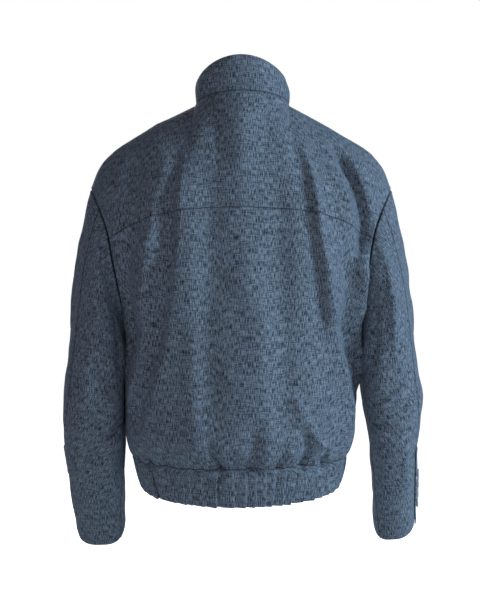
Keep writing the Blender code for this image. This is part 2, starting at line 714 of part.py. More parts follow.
def build():
    for old in list(bpy.data.objects):
        bpy.data.objects.remove(old)
    wool = cloth_material("slate wool", (0.085, 0.110, 0.155), 0.85)
    horn = cloth_material("pale horn", (0.50, 0.48, 0.47), 0.35)

    back, yoke, fronts, bands = body_grids()
    grids = {
        "back": back,
        "back_yoke": yoke,
        "front_left": fronts[1],
        "front_right": fronts[-1],
        "hem_band_back": bands["back"],
        "hem_band_left": bands[1],
        "hem_band_right": bands[-1],
        "collar": collar_grid(),
    }
    grids = {name: leaned(grid) for name, grid in grids.items()}
    facings = {name: facing(grid, grid * np.array([0, 0, 1])) for name, grid in grids.items()}
    sides = {"left": (1, LEFT_ARM), "right": (-1, RIGHT_ARM)}
    for word, (side, arms) in sides.items():
        loop = armhole(grids["back"], grids["back_yoke"], grids["front_" + word], side)
        under, upper = sleeve_grids(arms, loop, side)
        middle = np.concatenate([under, upper], axis=1).mean(axis=1, keepdims=True)
        for part, grid in (("under", under), ("upper", upper)):
            grids[f"{part}_sleeve_{word}"] = grid
            facings[f"{part}_sleeve_{word}"] = facing(grid, middle)

    directions = outward_directions(grids, facings)
    ease_neck_seam(grids, directions)
    for end in (0, -1):
        directions["collar"][:, end, 0] = 0
    outers = {name: pulled_in(grid, directions[name]) for name, grid in grids.items()}
    inners = {}
    for name, outer in outers.items():
        thickness = DOUBLE_CLOTH if name == "collar" or name.startswith("hem_band") else CLOTH
        inners[name] = outer - directions[name] * thickness
    for name, row in (("back", -1), ("hem_band_back", -1), ("collar", 0)):
        evened(outers[name][row])
        evened(inners[name][row])
    for name in grids:
        wall(name, outers[name], inners[name], facings[name], wool)

    points, slants = placket_points(outers, directions)
    overlay("front_placket", points, slants, facing(points, points * np.array([0, 0, 1])), wool)
    for word, (side, arms) in sides.items():
        sleeve = "upper_sleeve_" + word
        strip = (slice(0, VENT_ROWS + 1), slice(0, VENT_COLUMNS))
        overlay("vent_" + word, outers[sleeve][strip], directions[sleeve][strip], facings[sleeve], wool)
        for k, (centre, normal) in enumerate(cuff_button_places(arms, side)):
            button(f"cuff_button_{word}_{k + 1}", centre, normal, horn)


build()
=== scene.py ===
"""Looks of the blouson jacket: every cut piece as a fine shell of slate melange wool over its solid's
form."""

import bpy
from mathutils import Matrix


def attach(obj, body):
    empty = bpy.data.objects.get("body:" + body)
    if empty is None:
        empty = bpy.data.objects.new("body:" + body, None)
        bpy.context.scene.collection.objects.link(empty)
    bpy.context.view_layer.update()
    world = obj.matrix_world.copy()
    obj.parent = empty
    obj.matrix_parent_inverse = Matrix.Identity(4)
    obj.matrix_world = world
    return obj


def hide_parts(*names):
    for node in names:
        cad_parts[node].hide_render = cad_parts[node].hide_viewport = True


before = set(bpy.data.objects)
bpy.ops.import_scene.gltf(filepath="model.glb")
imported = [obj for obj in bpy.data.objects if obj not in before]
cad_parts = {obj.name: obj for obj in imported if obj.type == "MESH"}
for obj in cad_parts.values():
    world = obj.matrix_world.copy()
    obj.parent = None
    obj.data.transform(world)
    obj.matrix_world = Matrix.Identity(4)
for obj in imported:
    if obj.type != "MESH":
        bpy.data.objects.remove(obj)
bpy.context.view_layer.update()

import functools
import math
from collections import namedtuple

import bpy
import numpy as np
from bpy.props import FloatProperty, FloatVectorProperty, PointerProperty
from mathutils import Vector

bl_info = {
    "name": "Blouson Jacket",
    "version": (1, 0, 0),
    "blender": (4, 5, 0),
    "location": "3D View > Sidebar > Jacket",
    "description": "Builds the cut pieces, buttons and studio of a wool blouson jacket",
    "category": "Object",
}

# Sizes of the form

NECK_SHARE = 0.37
FRONT_COLUMNS = 12
FRONT_NECK_COLUMNS = 5
PLACKET_HALF_WIDTH = 0.024
PLACKET_SHARE = PLACKET_HALF_WIDTH / 0.165 * 2 / math.pi
ARMHOLE_POINTS = 24
HIND_SEAM = 8
FORE_SEAM = 21
DENT_DEPTH = 0.027
BODY_HALF_WIDTH = 0.172
BODY_HALF_DEPTH = 0.138
BODY_RADIUS = 0.155
HEM_TILT = 0.012
COLLAR_SWELL = 0.004
SIDE_SEAM_TOP = 4

# Sections of the body from the hem seam up: the depth and height of the middle, the place of the side edge,
# and how far the section has turned there, in degrees.
Section = namedtuple("Section", "mid_depth mid_height edge_across edge_depth edge_height turn")
BACK_SECTIONS = (
    Section(0.116, -0.541, 0.1600, 0.000, -0.526, 90),
    Section(0.137, -0.514, 0.1700, 0.000, -0.500, 90),
    Section(0.141, -0.470, 0.1720, 0.000, -0.460, 90),
    Section(0.138, -0.418, 0.1725, 0.000, -0.412, 90),
    Section(0.134, -0.360, 0.1665, 0.000, -0.354, 90),
    Section(0.131, -0.305, 0.176, 0.046, -0.300, 72),
    Section(0.126, -0.240, 0.186, 0.062, -0.250, 58),
    Section(0.117, -0.168, 0.193, 0.063, -0.212, 50),
)
FRONT_SECTIONS = (
    Section(-0.106, -0.511, 0.1600, 0.000, -0.526, 90),
    Section(-0.122, -0.490, 0.1700, 0.000, -0.500, 90),
    Section(-0.126, -0.454, 0.1720, 0.000, -0.460, 90),
    Section(-0.124, -0.408, 0.1725, 0.000, -0.412, 90),
    Section(-0.120, -0.352, 0.1665, 0.000, -0.354, 90),
    Section(-0.114, -0.290, 0.172, -0.044, -0.305, 72),
    Section(-0.105, -0.215, 0.179, -0.058, -0.245, 58),
)
BAND_BACK = Section(0.108, -0.597, 0.1485, 0.000, -0.573, 90)
BAND_FRONT = Section(-0.099, -0.558, 0.1485, 0.000, -0.573, 90)

# The shoulder line from the side of the neck to the shoulder tip
Ridge = namedtuple("Ridge", "across depth height")
SHOULDER = (
    Ridge(0.069, -0.004, -0.008),
    Ridge(0.100, -0.004, -0.024),
    Ridge(0.135, -0.004, -0.043),
    Ridge(0.168, -0.005, -0.062),
    Ridge(0.193, -0.005, -0.080),
    Ridge(0.213, -0.006, -0.103),
    Ridge(0.2255, -0.006, -0.134),
)

# The neck seam and the collar's top edge, each a ring through its back, side and front points
Ring = namedtuple("Ring", "half_width back_y back_z side_y side_z front_y front_z back_bend front_bend")
NECK_SEAM = Ring(0.069, 0.066, 0.0055, -0.004, -0.008, -0.085, -0.060, 1.0, 1.1)
COLLAR_TOP = Ring(0.0650, 0.069, 0.0575, -0.006, 0.033, -0.080, -0.016, 1.75, 1.2)

# Sleeve sections below the cap: inner and outer reach, the dent of the inner side, middle depth and half
# depth, how far the back hangs below the front, and the two seams in degrees from the inner point round by
# the back.
Arm = namedtuple("Arm", "inner outer inner_z outer_z dent depth half_depth back_drop hind fore")
LEFT_ARM = (
    Arm(0.1680, 0.2550, -0.386, -0.325, 0.0110, -0.002, 0.070, 0.000, 136, -35),
    Arm(0.1695, 0.2625, -0.432, -0.392, 0.0110, 0.004, 0.068, 0.000, 137, -28),
    Arm(0.1710, 0.2685, -0.478, -0.455, 0.0090, 0.006, 0.064, 0.003, 141, -12),
    Arm(0.1755, 0.2675, -0.532, -0.518, 0.0030, -0.008, 0.059, 0.010, 172, 12),
    Arm(0.1795, 0.2630, -0.590, -0.578, 0.0000, -0.030, 0.053, 0.015, 190, 34),
    Arm(0.1815, 0.2525, -0.651, -0.654, 0.0000, -0.056, 0.047, 0.017, 195, 32),
)
RIGHT_ARM = (
    Arm(0.1745, 0.2520, -0.388, -0.325, 0.0040, -0.002, 0.070, 0.000, 141, -35),
    Arm(0.1735, 0.2600, -0.432, -0.392, 0.0060, 0.004, 0.068, 0.000, 139, -26),
    Arm(0.1810, 0.2680, -0.478, -0.455, 0.0040, 0.006, 0.064, 0.003, 138, -8),
    Arm(0.1920, 0.2600, -0.532, -0.518, 0.0000, -0.008, 0.059, 0.010, 150, 15),
    Arm(0.1965, 0.2610, -0.590, -0.575, 0.0000, -0.030, 0.053, 0.015, 154, 33),
    Arm(0.2010, 0.2630, -0.648, -0.636, 0.0000, -0.056, 0.047, 0.019, 158, 48),
)
ARMS = {1: LEFT_ARM, -1: RIGHT_ARM}
WORDS = {1: "left", -1: "right"}
VENT_ROWS = 2.0
VENT_COLUMNS = 2.0

# How far the jacket has slipped to the wearer's left, by height
Lean = namedtuple("Lean", "height shift")
LEANS = (
    Lean(-0.575, 0.0035),
    Lean(-0.525, 0.0055),
    Lean(-0.450, 0.0035),
    Lean(-0.200, 0.0030),
    Lean(-0.070, 0.0030),
    Lean(-0.040, 0.0045),
    Lean(-0.020, 0.0025),
    Lean(0.000, -0.0008),
    Lean(0.020, 0.0010),
    Lean(0.050, 0.0030),
)

# Folds of the body. Each runs through its path's points, in degrees round from the centre back towards the
# wearer's left and in height, stands out by its rise, falls away over its two widths, towards the centre
# back and towards the front, and has a crest that is rounder the higher its round is. A negative rise is a
# trough.
Fold = namedtuple("Fold", "path rise back_width front_width round")
FOLDS = (
    # The wearer's left of the back
    Fold(((40, -0.040), (37.7, -0.084), (32.7, -0.159), (33.0, -0.299), (43.7, -0.427), (55, -0.520)),
        0.010, 0.032, 0.010, 1.5),
    Fold(((42, -0.090), (38, -0.159), (38.5, -0.299), (49, -0.427), (60, -0.510)), -0.004, 0.008, 0.016, 2.0),
    Fold(((52, -0.070), (45.9, -0.128), (45.4, -0.177), (46, -0.250)), 0.005, 0.012, 0.016, 2.0),
    Fold(((67, -0.080), (63, -0.110), (56.5, -0.155), (53, -0.215)), -0.005, 0.013, 0.013, 2.0),
    Fold(((46, -0.150), (48.4, -0.207), (48.7, -0.298), (57.6, -0.371), (61.7, -0.429), (70, -0.490)),
        0.010, 0.018, 0.010, 1.5),
    Fold(((55, -0.190), (58, -0.258), (64, -0.320), (72, -0.400)), -0.009, 0.009, 0.013, 2.0),
    Fold(((78, -0.270), (80, -0.340), (80, -0.430)), 0.006, 0.018, 0.020, 2.0),
    # The middle of the back
    Fold(((19.5, -0.070), (17, -0.200), (16.2, -0.299), (12.1, -0.530)), -0.004, 0.018, 0.018, 2.0),
    Fold(((22, -0.150), (24.6, -0.284), (23.2, -0.380), (21.8, -0.600)), 0.003, 0.012, 0.014, 2.0),
    Fold(((-0.8, 0.040), (-1.2, -0.159), (-4.5, -0.299), (-6, -0.520)), 0.005, 0.024, 0.022, 1.8),
    Fold(((-21, -0.070), (-20, -0.200), (-20.5, -0.343), (-19.4, -0.540)), -0.005, 0.018, 0.016, 2.0),
    Fold(((-9, -0.280), (-11.4, -0.415), (-14.6, -0.580)), 0.003, 0.010, 0.014, 1.8),
    # The wearer's right of the back
    Fold(((-40, -0.050), (-36.1, -0.118), (-36.5, -0.189), (-38, -0.280), (-45, -0.370)), -0.007, 0.013,
        0.009, 2.0),
    Fold(((-47, -0.050), (-44, -0.100), (-40.4, -0.167), (-41.3, -0.238), (-45.1, -0.298), (-54.9, -0.364),
        (-60, -0.442), (-68, -0.510)), 0.013, 0.022, 0.010, 1.4),
    Fold(((-51, -0.170), (-51.5, -0.200), (-52.5, -0.240), (-56.5, -0.298), (-65, -0.364), (-70, -0.430)),
        -0.012, 0.009, 0.024, 2.0),
    Fold(((-62, -0.060), (-57, -0.128), (-55.5, -0.195)), 0.005, 0.008, 0.007, 1.6),
    Fold(((-65.5, -0.060), (-62.2, -0.119), (-61.9, -0.151), (-63.5, -0.178), (-61.5, -0.205),
        (-57, -0.260)), -0.017, 0.012, 0.008, 1.6),
    Fold(((-72, -0.070), (-66.5, -0.127), (-67, -0.190)), 0.004, 0.006, 0.010, 2.0),
    Fold(((-57, -0.205), (-62, -0.235), (-69, -0.299), (-76, -0.360), (-80, -0.440)), 0.016, 0.018, 0.014,
        1.6),
    Fold(((-80, -0.290), (-82, -0.350), (-82, -0.430)), 0.006, 0.020, 0.020, 2.0),
    # Dents above the hem band and the ridges between them
    Fold(((51, -0.490), (53, -0.520), (54, -0.640)), -0.006, 0.006, 0.007, 1.6),
    Fold(((38, -0.498), (42, -0.528), (45, -0.640)), -0.007, 0.007, 0.006, 1.5),
    Fold(((15.5, -0.490), (11.8, -0.525), (11, -0.640)), -0.010, 0.005, 0.008, 1.4),
    Fold(((22.5, -0.505), (22, -0.540), (22, -0.640)), -0.004, 0.006, 0.006, 1.6),
    Fold(((-6, -0.470), (-7, -0.510), (-7, -0.640)), -0.007, 0.010, 0.009, 1.7),
    Fold(((-21, -0.495), (-22, -0.530), (-23, -0.640)), -0.005, 0.007, 0.006, 1.6),
    Fold(((-30, -0.465), (-34, -0.510), (-36, -0.640)), -0.009, 0.012, 0.009, 1.6),
    Fold(((-45, -0.500), (-48, -0.530), (-50, -0.640)), -0.006, 0.007, 0.007, 1.5),
    Fold(((-24, -0.430), (-29.8, -0.465), (-36.1, -0.493), (-50, -0.522)), 0.006, 0.010, 0.010, 1.6),
    Fold(((-60, -0.430), (-66, -0.478), (-66, -0.540)), 0.006, 0.020, 0.020, 2.0),
    # The fronts
    Fold(((141, -0.080), (139, -0.150), (137, -0.300), (125, -0.500)), 0.008, 0.012, 0.024, 1.6),
    Fold(((128, -0.140), (127, -0.280), (116, -0.440)), -0.005, 0.014, 0.012, 2.0),
    Fold(((158, -0.140), (156, -0.330), (153, -0.510)), 0.004, 0.014, 0.018, 1.8),
    Fold(((108, -0.180), (112, -0.260), (104, -0.400)), 0.006, 0.012, 0.016, 1.8),
    Fold(((120, -0.400), (126, -0.460), (128, -0.600)), -0.004, 0.010, 0.012, 1.8),
    Fold(((146, -0.440), (149, -0.480), (150, -0.600)), -0.003, 0.008, 0.010, 1.8),
    Fold(((-139, -0.070), (-138, -0.140), (-135, -0.310), (-124, -0.500)), 0.009, 0.012, 0.022, 1.6),
    Fold(((-127, -0.160), (-125, -0.300), (-113, -0.430)), -0.006, 0.012, 0.012, 2.0),
    Fold(((-155, -0.160), (-157, -0.330), (-152, -0.500)), 0.005, 0.016, 0.018, 1.8),
    Fold(((-110, -0.200), (-113, -0.280), (-106, -0.410)), 0.006, 0.012, 0.014, 1.8),
    Fold(((-132, -0.420), (-136, -0.460), (-138, -0.600)), -0.004, 0.010, 0.010, 1.8),
)

# Creases of the sleeves, each a straight run over the cloth between two places, by column and row number,
# with a bell-shaped rise of its width; long ones are the drape of the cap, short ones the wrinkles of the
# elbow
Crease = namedtuple("Crease", "column row end_column end_row rise width")
CREASES = {
    1: (
        Crease(5.0, 0.30, 5.2, 1.60, 0.004, 0.011),
        Crease(3.0, 0.50, 2.6, 1.80, -0.004, 0.010),
        Crease(5.6, 1.80, 5.0, 3.20, 0.003, 0.013),
        Crease(-0.5, 3.05, 3.2, 3.55, -0.006, 0.007),
        Crease(-0.5, 3.45, 2.6, 3.85, 0.004, 0.007),
        Crease(1.0, 4.10, 4.2, 3.80, -0.003, 0.008),
        Crease(11.0, 0.20, 10.6, 1.30, 0.004, 0.012),
        Crease(15.5, 0.20, 16.4, 1.40, 0.004, 0.012),
        Crease(13.0, 2.60, 18.5, 3.10, -0.004, 0.008),
        Crease(14.0, 3.00, 18.8, 3.50, 0.004, 0.008),
        Crease(12.5, 3.70, 17.0, 3.30, -0.004, 0.007),
        Crease(17.5, 4.40, 14.0, 4.90, 0.003, 0.010),
    ),
    -1: (
        Crease(5.6, 0.25, 5.3, 1.40, 0.005, 0.010),
        Crease(3.6, 0.45, 3.3, 1.60, -0.005, 0.009),
        Crease(2.0, 0.60, 1.6, 1.50, 0.003, 0.009),
        Crease(3.5, 2.70, 7.0, 2.15, 0.003, 0.006),
        Crease(4.0, 3.00, 7.2, 2.60, -0.003, 0.006),
        Crease(1.0, 2.90, 4.0, 3.40, -0.004, 0.008),
        Crease(4.5, 3.60, 4.8, 5.00, 0.003, 0.014),
        Crease(11.4, 0.20, 11.0, 1.40, 0.004, 0.012),
        Crease(16.0, 0.20, 16.6, 1.50, 0.005, 0.011),
        Crease(12.5, 2.80, 18.0, 2.55, -0.004, 0.008),
        Crease(13.5, 3.30, 18.6, 3.00, 0.004, 0.008),
        Crease(12.0, 3.50, 17.5, 3.75, -0.004, 0.007),
        Crease(17.0, 4.60, 14.5, 5.00, 0.003, 0.010),
    ),
}
COLUMN_STEP = 0.015
UNEVENNESS = 0.0045
PUCKER = 0.00035
ROW_STEP = 0.078

# The gathers of the hem band. Each is a small overlap: where its edge lies, in degrees round from the
# centre back, how deep it is, how wide its swelling and its hollow are, how far it runs up into the body
# above the seam, and how far it leans over there and slants down in the band, in degrees.
Pleat = namedtuple("Pleat", "angle depth swelling hollow reach lean slant")
PLEATS = (
    Pleat(80.0, 0.0015, 0.006, 0.004, 0.010, 0.0, 0.0),
    Pleat(71.0, 0.0015, 0.006, 0.004, 0.010, 0.0, 0.0),
    Pleat(62.0, 0.0015, 0.006, 0.004, 0.012, 0.0, 0.0),
    Pleat(54.2, 0.0060, 0.007, 0.003, 0.016, 1.5, 0.0),
    Pleat(37.5, 0.0025, 0.005, 0.004, 0.012, 3.0, 1.0),
    Pleat(31.2, 0.0032, 0.007, 0.003, 0.010, 0.0, 0.0),
    Pleat(27.0, 0.0022, 0.005, 0.003, 0.010, 0.0, 0.5),
    Pleat(20.0, 0.0026, 0.006, 0.004, 0.012, 1.0, 0.0),
    Pleat(10.9, 0.0075, 0.008, 0.003, 0.026, 4.0, 2.0),
    Pleat(3.5, 0.0022, 0.008, 0.006, 0.012, 0.0, 0.0),
    Pleat(-3.5, 0.0045, 0.006, 0.003, 0.016, 0.0, 0.5),
    Pleat(-8.6, 0.0036, 0.004, 0.003, 0.020, 0.0, 0.3),
    Pleat(-13.5, 0.0022, 0.004, 0.003, 0.010, 0.0, 0.0),
    Pleat(-18.3, 0.0046, 0.006, 0.003, 0.012, 0.0, 0.4),
    Pleat(-24.0, 0.0040, 0.004, 0.003, 0.012, 0.0, 0.0),
    Pleat(-30.9, 0.0070, 0.008, 0.004, 0.020, 1.0, 1.8),
    Pleat(-37.5, 0.0024, 0.005, 0.004, 0.010, 0.0, 0.0),
    Pleat(-44.6, 0.0070, 0.006, 0.003, 0.018, 2.0, -0.8),
    Pleat(-53.3, 0.0044, 0.005, 0.003, 0.014, 2.0, 0.5),
    Pleat(-60.0, 0.0034, 0.004, 0.003, 0.010, 0.0, 0.0),
    Pleat(-67.0, 0.0050, 0.005, 0.003, 0.012, 0.0, 0.5),
    Pleat(-76.0, 0.0036, 0.005, 0.004, 0.014, 0.0, 0.0),
    Pleat(-84.0, 0.0026, 0.004, 0.004, 0.010, 0.0, 0.0),
)
PLEAT_EDGE = 0.0009
BAND_RADIUS = 0.135


# Mathematics of the surfaces


def unit(v):
    """Vectors divided by their lengths."""
    return v / np.maximum(np.linalg.norm(v, axis=-1, keepdims=True), 1e-12)


def smooth(t):
    """A soft step from 0 at t = 0 to 1 at t = 1: 3t squared less 2t cubed."""
    t = np.clip(t, 0, 1)
    return t * t * (3 - 2 * t)


def through(rows, at):
    """The tables' columns at fractional row numbers: a Catmull-Rom cubic through the four nearest rows."""
    table = np.array(rows, float)
    table = np.vstack([2 * table[0] - table[1], table, 2 * table[-1] - table[-2]])
    at = np.asarray(at, float)
    k = np.clip(np.floor(at).astype(int), 0, len(rows) - 2)
    f = (at - k)[..., None]
    a, b, c, d = (table[k + i] for i in range(4))
    return 0.5 * (2 * b + (c - a) * f + (2 * a - 5 * b + 4 * c - d) * f**2 + (3 * b - a - 3 * c + d) * f**3)


def across(sections, row, share):
    """A point of a section at a signed share of the way from its middle to its side edge: across goes as
    the sine of the share's turn, depth falls with its cosine, and height bends with the share to the power
    2.6."""
    columns = np.moveaxis(through(sections, row), -1, 0)
    mid_depth, mid_height, edge_across, edge_depth, edge_height, turn = columns
    turn = np.radians(turn)
    s = np.abs(share)
    x = edge_across * np.sin(turn * s) / np.sin(turn) * np.sign(share)
    fall = np.clip((np.cos(turn * s) - np.cos(turn)) / (1 - np.cos(turn)), 0, 1)
    y = edge_depth + (mid_depth - edge_depth) * fall**0.85
    z = mid_height + (edge_height - mid_height) * s**2.6
    return np.stack(np.broadcast_arrays(x, y, z), axis=-1)


def ring_point(ring, share):
    """A point of a neck ring at a signed share from the centre back, 0, by the side to the centre front, 1:
    a sine across, a cosine in depth, and a height that follows the cosine to the power of the ring's
    bend."""
    angle = np.pi * np.abs(share)
    towards = np.cos(angle)
    behind = towards > 0
    end_y = np.where(behind, ring.back_y, ring.front_y)
    end_z = np.where(behind, ring.back_z, ring.front_z)
    bend = np.where(behind, ring.back_bend, ring.front_bend)
    y = ring.side_y + (end_y - ring.side_y) * np.abs(towards)
    z = ring.side_z + (end_z - ring.side_z) * np.abs(towards) ** bend
    return np.stack([ring.half_width * np.sin(angle) * np.sign(share), y, z], axis=-1)


def curve(start, leave, end, arrive, f):
    """A Hermite cubic: from start along leave at f = 0, to end along arrive at f = 1."""
    return (
        (2 * f**3 - 3 * f**2 + 1) * start
        + (f**3 - 2 * f**2 + f) * leave
        + (3 * f**2 - 2 * f**3) * end
        + (f**3 - f**2) * arrive
    )


def ladder(length, step, close=0.0005, near=8):
    """Places from 0 to 1 along a side of that length: closer and closer together towards both ends, where
    seams are, and a step apart between."""
    ramp = np.cumsum(np.linspace(close, step, near))
    middle = np.arange(ramp[-1] + step, length / 2, step)
    half = np.concatenate([[0], ramp, middle])
    half = half / half[-1] * (length / 2 - step / 2)
    return np.concatenate([half, length - half[::-1]]) / length


def over_the_top(sections, share, edge_point, depth_sign, over_shoulder, f):
    """The part above the last section: Hermite curves that rise from it and arrive at the neck seam or the
    shoulder line, level over the shoulder and steep at the neck."""
    last = len(sections) - 1
    start = across(sections, np.full_like(share, last), share)
    rising = unit(start - across(sections, np.full_like(share, last - 0.2), share))
    at_neck = np.array([0.0, -0.55 * depth_sign, 0.85])
    at_shoulder = np.array([0.0, -1.0 * depth_sign, 0.02])
    blend = over_shoulder[..., None]
    arriving = unit(at_neck * (1 - blend) + at_shoulder * blend)
    reach = np.linalg.norm(edge_point - start, axis=-1, keepdims=True)
    return curve(start, rising * reach, edge_point, arriving * reach * 0.9, f[..., None])


def neck_or_shoulder(ring_share, shoulder_share, side):
    """The edge that a top column ends on: the neck ring while shoulder_share is below 0, else the shoulder
    line."""
    on_ring = ring_point(NECK_SEAM, ring_share * side)
    on_line = through(SHOULDER, np.clip(shoulder_share, 0, 1) * (len(SHOULDER) - 1))
    on_line = on_line * np.stack([side, np.ones_like(side), np.ones_like(side)], axis=-1)
    return np.where((shoulder_share < 0)[..., None], on_ring, on_line)


def back_top(share, f):
    """The yoke's points at a signed share across and a share f of the way up from the yoke seam."""
    s, side = np.abs(share), np.where(share < 0, -1.0, 1.0)
    along = np.where(s <= NECK_SHARE, s / NECK_SHARE, 1 + 1.4 * (s - NECK_SHARE) / (1 - NECK_SHARE))
    edge_point = neck_or_shoulder(0.5 * np.minimum(along, 1), (s - NECK_SHARE) / (1 - NECK_SHARE), side)
    over_shoulder = np.clip((along - 0.4) / 0.7, 0, 1)
    return over_the_top(BACK_SECTIONS, share, edge_point, 1, over_shoulder, f)


def front_column(s):
    """The column number of a share across a front: 1 at the placket's edge, 12 at the side."""
    return np.where(s <= PLACKET_SHARE, s / PLACKET_SHARE, 1 + (s - PLACKET_SHARE) / (1 - PLACKET_SHARE) * 11)


def front_top(share, f):
    """The upper front's points at a signed share across and a share f of the way up from the chest line."""
    s, side = np.abs(share), np.where(share < 0, -1.0, 1.0)
    column = front_column(s)
    along = column / FRONT_NECK_COLUMNS
    shoulder_share = (column - FRONT_NECK_COLUMNS) / (FRONT_COLUMNS - FRONT_NECK_COLUMNS)
    edge_point = neck_or_shoulder(1 - 0.5 * np.minimum(along, 1), shoulder_share, side)
    over_shoulder = np.clip((along - 0.5) / 0.9, 0, 1)
    return over_the_top(FRONT_SECTIONS, share, edge_point, -1, over_shoulder, f)


def normals(grid):
    """Unit normals of a grid of points: the step along its columns crossed with the step up its rows."""
    return unit(np.cross(np.gradient(grid, axis=1), np.gradient(grid, axis=0)))


def fold_rise(grid, folds):
    """How far the folds raise each point: each fold's rise times a bell of the distance from its line,
    measured round the body, faded in at its top and out at its foot. The line is the cubic that best fits
    its path."""
    x, y, z = grid[..., 0], grid[..., 1], grid[..., 2]
    angle = np.arctan2(x / BODY_HALF_WIDTH, y / BODY_HALF_DEPTH)
    total = np.zeros_like(z)
    for fold in folds:
        angles, heights = np.array(fold.path).T
        line = np.polyfit(heights, np.radians(angles), min(3, len(heights) - 1))
        off = (angle - np.polyval(line, z)) * math.copysign(BODY_RADIUS, angles[1])
        width = np.where(off > 0, fold.front_width, fold.back_width)
        length = heights[0] - heights[-1]
        fade = smooth((heights[0] - z) / (0.25 * length)) * smooth((z - heights[-1]) / (0.2 * length))
        total += fold.rise * fade * np.exp(-(np.abs(off / width) ** fold.round))
    return total


def crease_rise(j, q, creases):
    """How far the creases raise a sleeve's points: each a bell of the distance over the cloth from its
    straight run, tapered to both ends by the sine of the way along it to the power 0.7."""
    total = np.zeros_like(j)
    for crease in creases:
        run = np.array([(crease.end_column - crease.column) * COLUMN_STEP,
            (crease.end_row - crease.row) * ROW_STEP])
        across_it, down = (j - crease.column) * COLUMN_STEP, (q - crease.row) * ROW_STEP
        way = np.clip((across_it * run[0] + down * run[1]) / (run @ run), 0, 1)
        off = np.hypot(across_it - way * run[0], down - way * run[1])
        total += crease.rise * np.sin(np.pi * np.clip(way, 0.02,
            0.98)) ** 0.7 * np.exp(-((off / crease.width) ** 2))
    return total


def leaned(grid):
    """The grid with the jacket's lean towards the wearer's left, softly between the table's heights, and
    its hem tilted down on that side."""
    heights, shifts = np.array(LEANS).T
    z = grid[..., 2]
    shift = sum(np.interp(z + d, heights, shifts) for d in (-0.012, -0.006, 0, 0.006, 0.012)) / 5
    near_hem = np.clip((-0.45 - z) / 0.1, 0, 1)
    return grid + np.stack([shift, np.zeros_like(shift), -HEM_TILT * grid[..., 0] * near_hem], axis=-1)


def gathers(angle, above, down=0.0):
    """How far the gathers raise a point at an angle in degrees, above the hem seam or a share down the
    band: for each pleat half its depth up on the wearer's left of its edge and half down on the right, each
    side dying away as an exponential, with a hyperbolic tangent over the edge itself, and all of it dying
    away up the body."""
    total = np.zeros(np.broadcast(angle, above, down).shape)
    for pleat in PLEATS:
        middle = pleat.angle + pleat.lean * smooth(above / 0.04) + pleat.slant * down
        off = np.radians(angle - middle) * BAND_RADIUS
        width = np.where(off > 0, pleat.swelling, pleat.hollow)
        total += pleat.depth / 2 * np.tanh(off / PLEAT_EDGE) * np.exp(-np.abs(off) / width - above
            / pleat.reach)
    return total


def side_distances(grid):
    """How far each point is from the grid's four sides, measured along the cloth: foot, top, first, last."""
    up = np.linalg.norm(np.diff(grid, axis=0), axis=-1)
    up = np.concatenate([np.zeros((1, grid.shape[1])), np.cumsum(up, axis=0)])
    along = np.linalg.norm(np.diff(grid, axis=1), axis=-1)
    along = np.concatenate([np.zeros((grid.shape[0], 1)), np.cumsum(along, axis=1)], axis=1)
    return {"foot": up, "top": up[-1:] - up, "first": along, "last": along[:, -1:] - along}


# The body


@functools.lru_cache(None)
def body():
    """The outer points of the back, the yoke and the two fronts, before their seams are pressed."""
    columns = 2 * ladder(0.47, 0.0015, 0.0004, 6) - 1
    low = ladder(0.37, 0.0040) * 7
    high = ladder(0.17, 0.0038)
    share, row = np.meshgrid(columns, low)
    back = across(BACK_SECTIONS, row, share)
    back = back + side_blend(row, share, back[..., 1])
    share, f = np.meshgrid(columns, high)
    yoke = back_top(share, f)
    whole = np.concatenate([back, yoke[1:]])
    held = smooth((1 - np.abs(np.vstack([np.meshgrid(columns, low)[0], share[1:]]))) / 0.03)
    held = held * smooth((1 - np.concatenate([np.zeros(len(low)), high[1:]]))[:, None] / 0.1)
    whole = whole + fold_way(whole, -1) * (fold_rise(whole, FOLDS) * held)[..., None]
    angle = np.degrees(np.arctan2(whole[..., 0] / 0.16, whole[..., 1] / 0.116))
    above = np.maximum(whole[..., 2] - whole[0, :, 2], 0)
    whole = whole - normals(whole) * (gathers(angle, above) * held)[..., None]
    fronts = {}
    for side in (1, -1):
        across_front = ladder(0.22, 0.0026)
        share, row = np.meshgrid(across_front * side, ladder(0.30, 0.0032) * 6)
        lower = across(FRONT_SECTIONS, row, share)
        lower = lower + side_blend(row, share, lower[..., 1])
        share, f = np.meshgrid(across_front * side, ladder(0.20, 0.0030, 0.002, 3))
        grid = np.concatenate([lower, front_top(share, f)[1:]])
        held = smooth((np.abs(share[0]) - PLACKET_SHARE) / 0.08) * smooth((1 - np.abs(share[0])) / 0.05)
        rise = fold_rise(grid, FOLDS) * held * smooth((len(grid) - 1 - np.arange(len(grid))) / 12)[:, None]
        fronts[side] = grid + fold_way(grid, side) * rise[..., None]
    return whole[: len(low)], whole[len(low) - 1 :], fronts


def fold_way(grid, sign):
    """The direction that folds stand out in: the outward normal, turned towards straight back or straight
    forward."""
    return unit(normals(grid) * sign * np.array([1, 2.5, 1]))


def side_blend(row, share, depth):
    """Brings the side edges of the back and the fronts together halfway: half the difference of the two
    edges, fading towards the middle with the eighth power of the share."""
    side = np.where(share < 0, -1.0, 1.0)
    limit = np.clip(row, 0, SIDE_SEAM_TOP)
    behind = across(BACK_SECTIONS, limit, side)
    before = across(FRONT_SECTIONS, limit, side)
    half = (before - behind) / 2 * np.where(depth[len(depth) // 2, depth.shape[1] // 2] > 0, 1, -1)
    return half * (np.abs(share) ** 8 * (row <= SIDE_SEAM_TOP))[..., None]


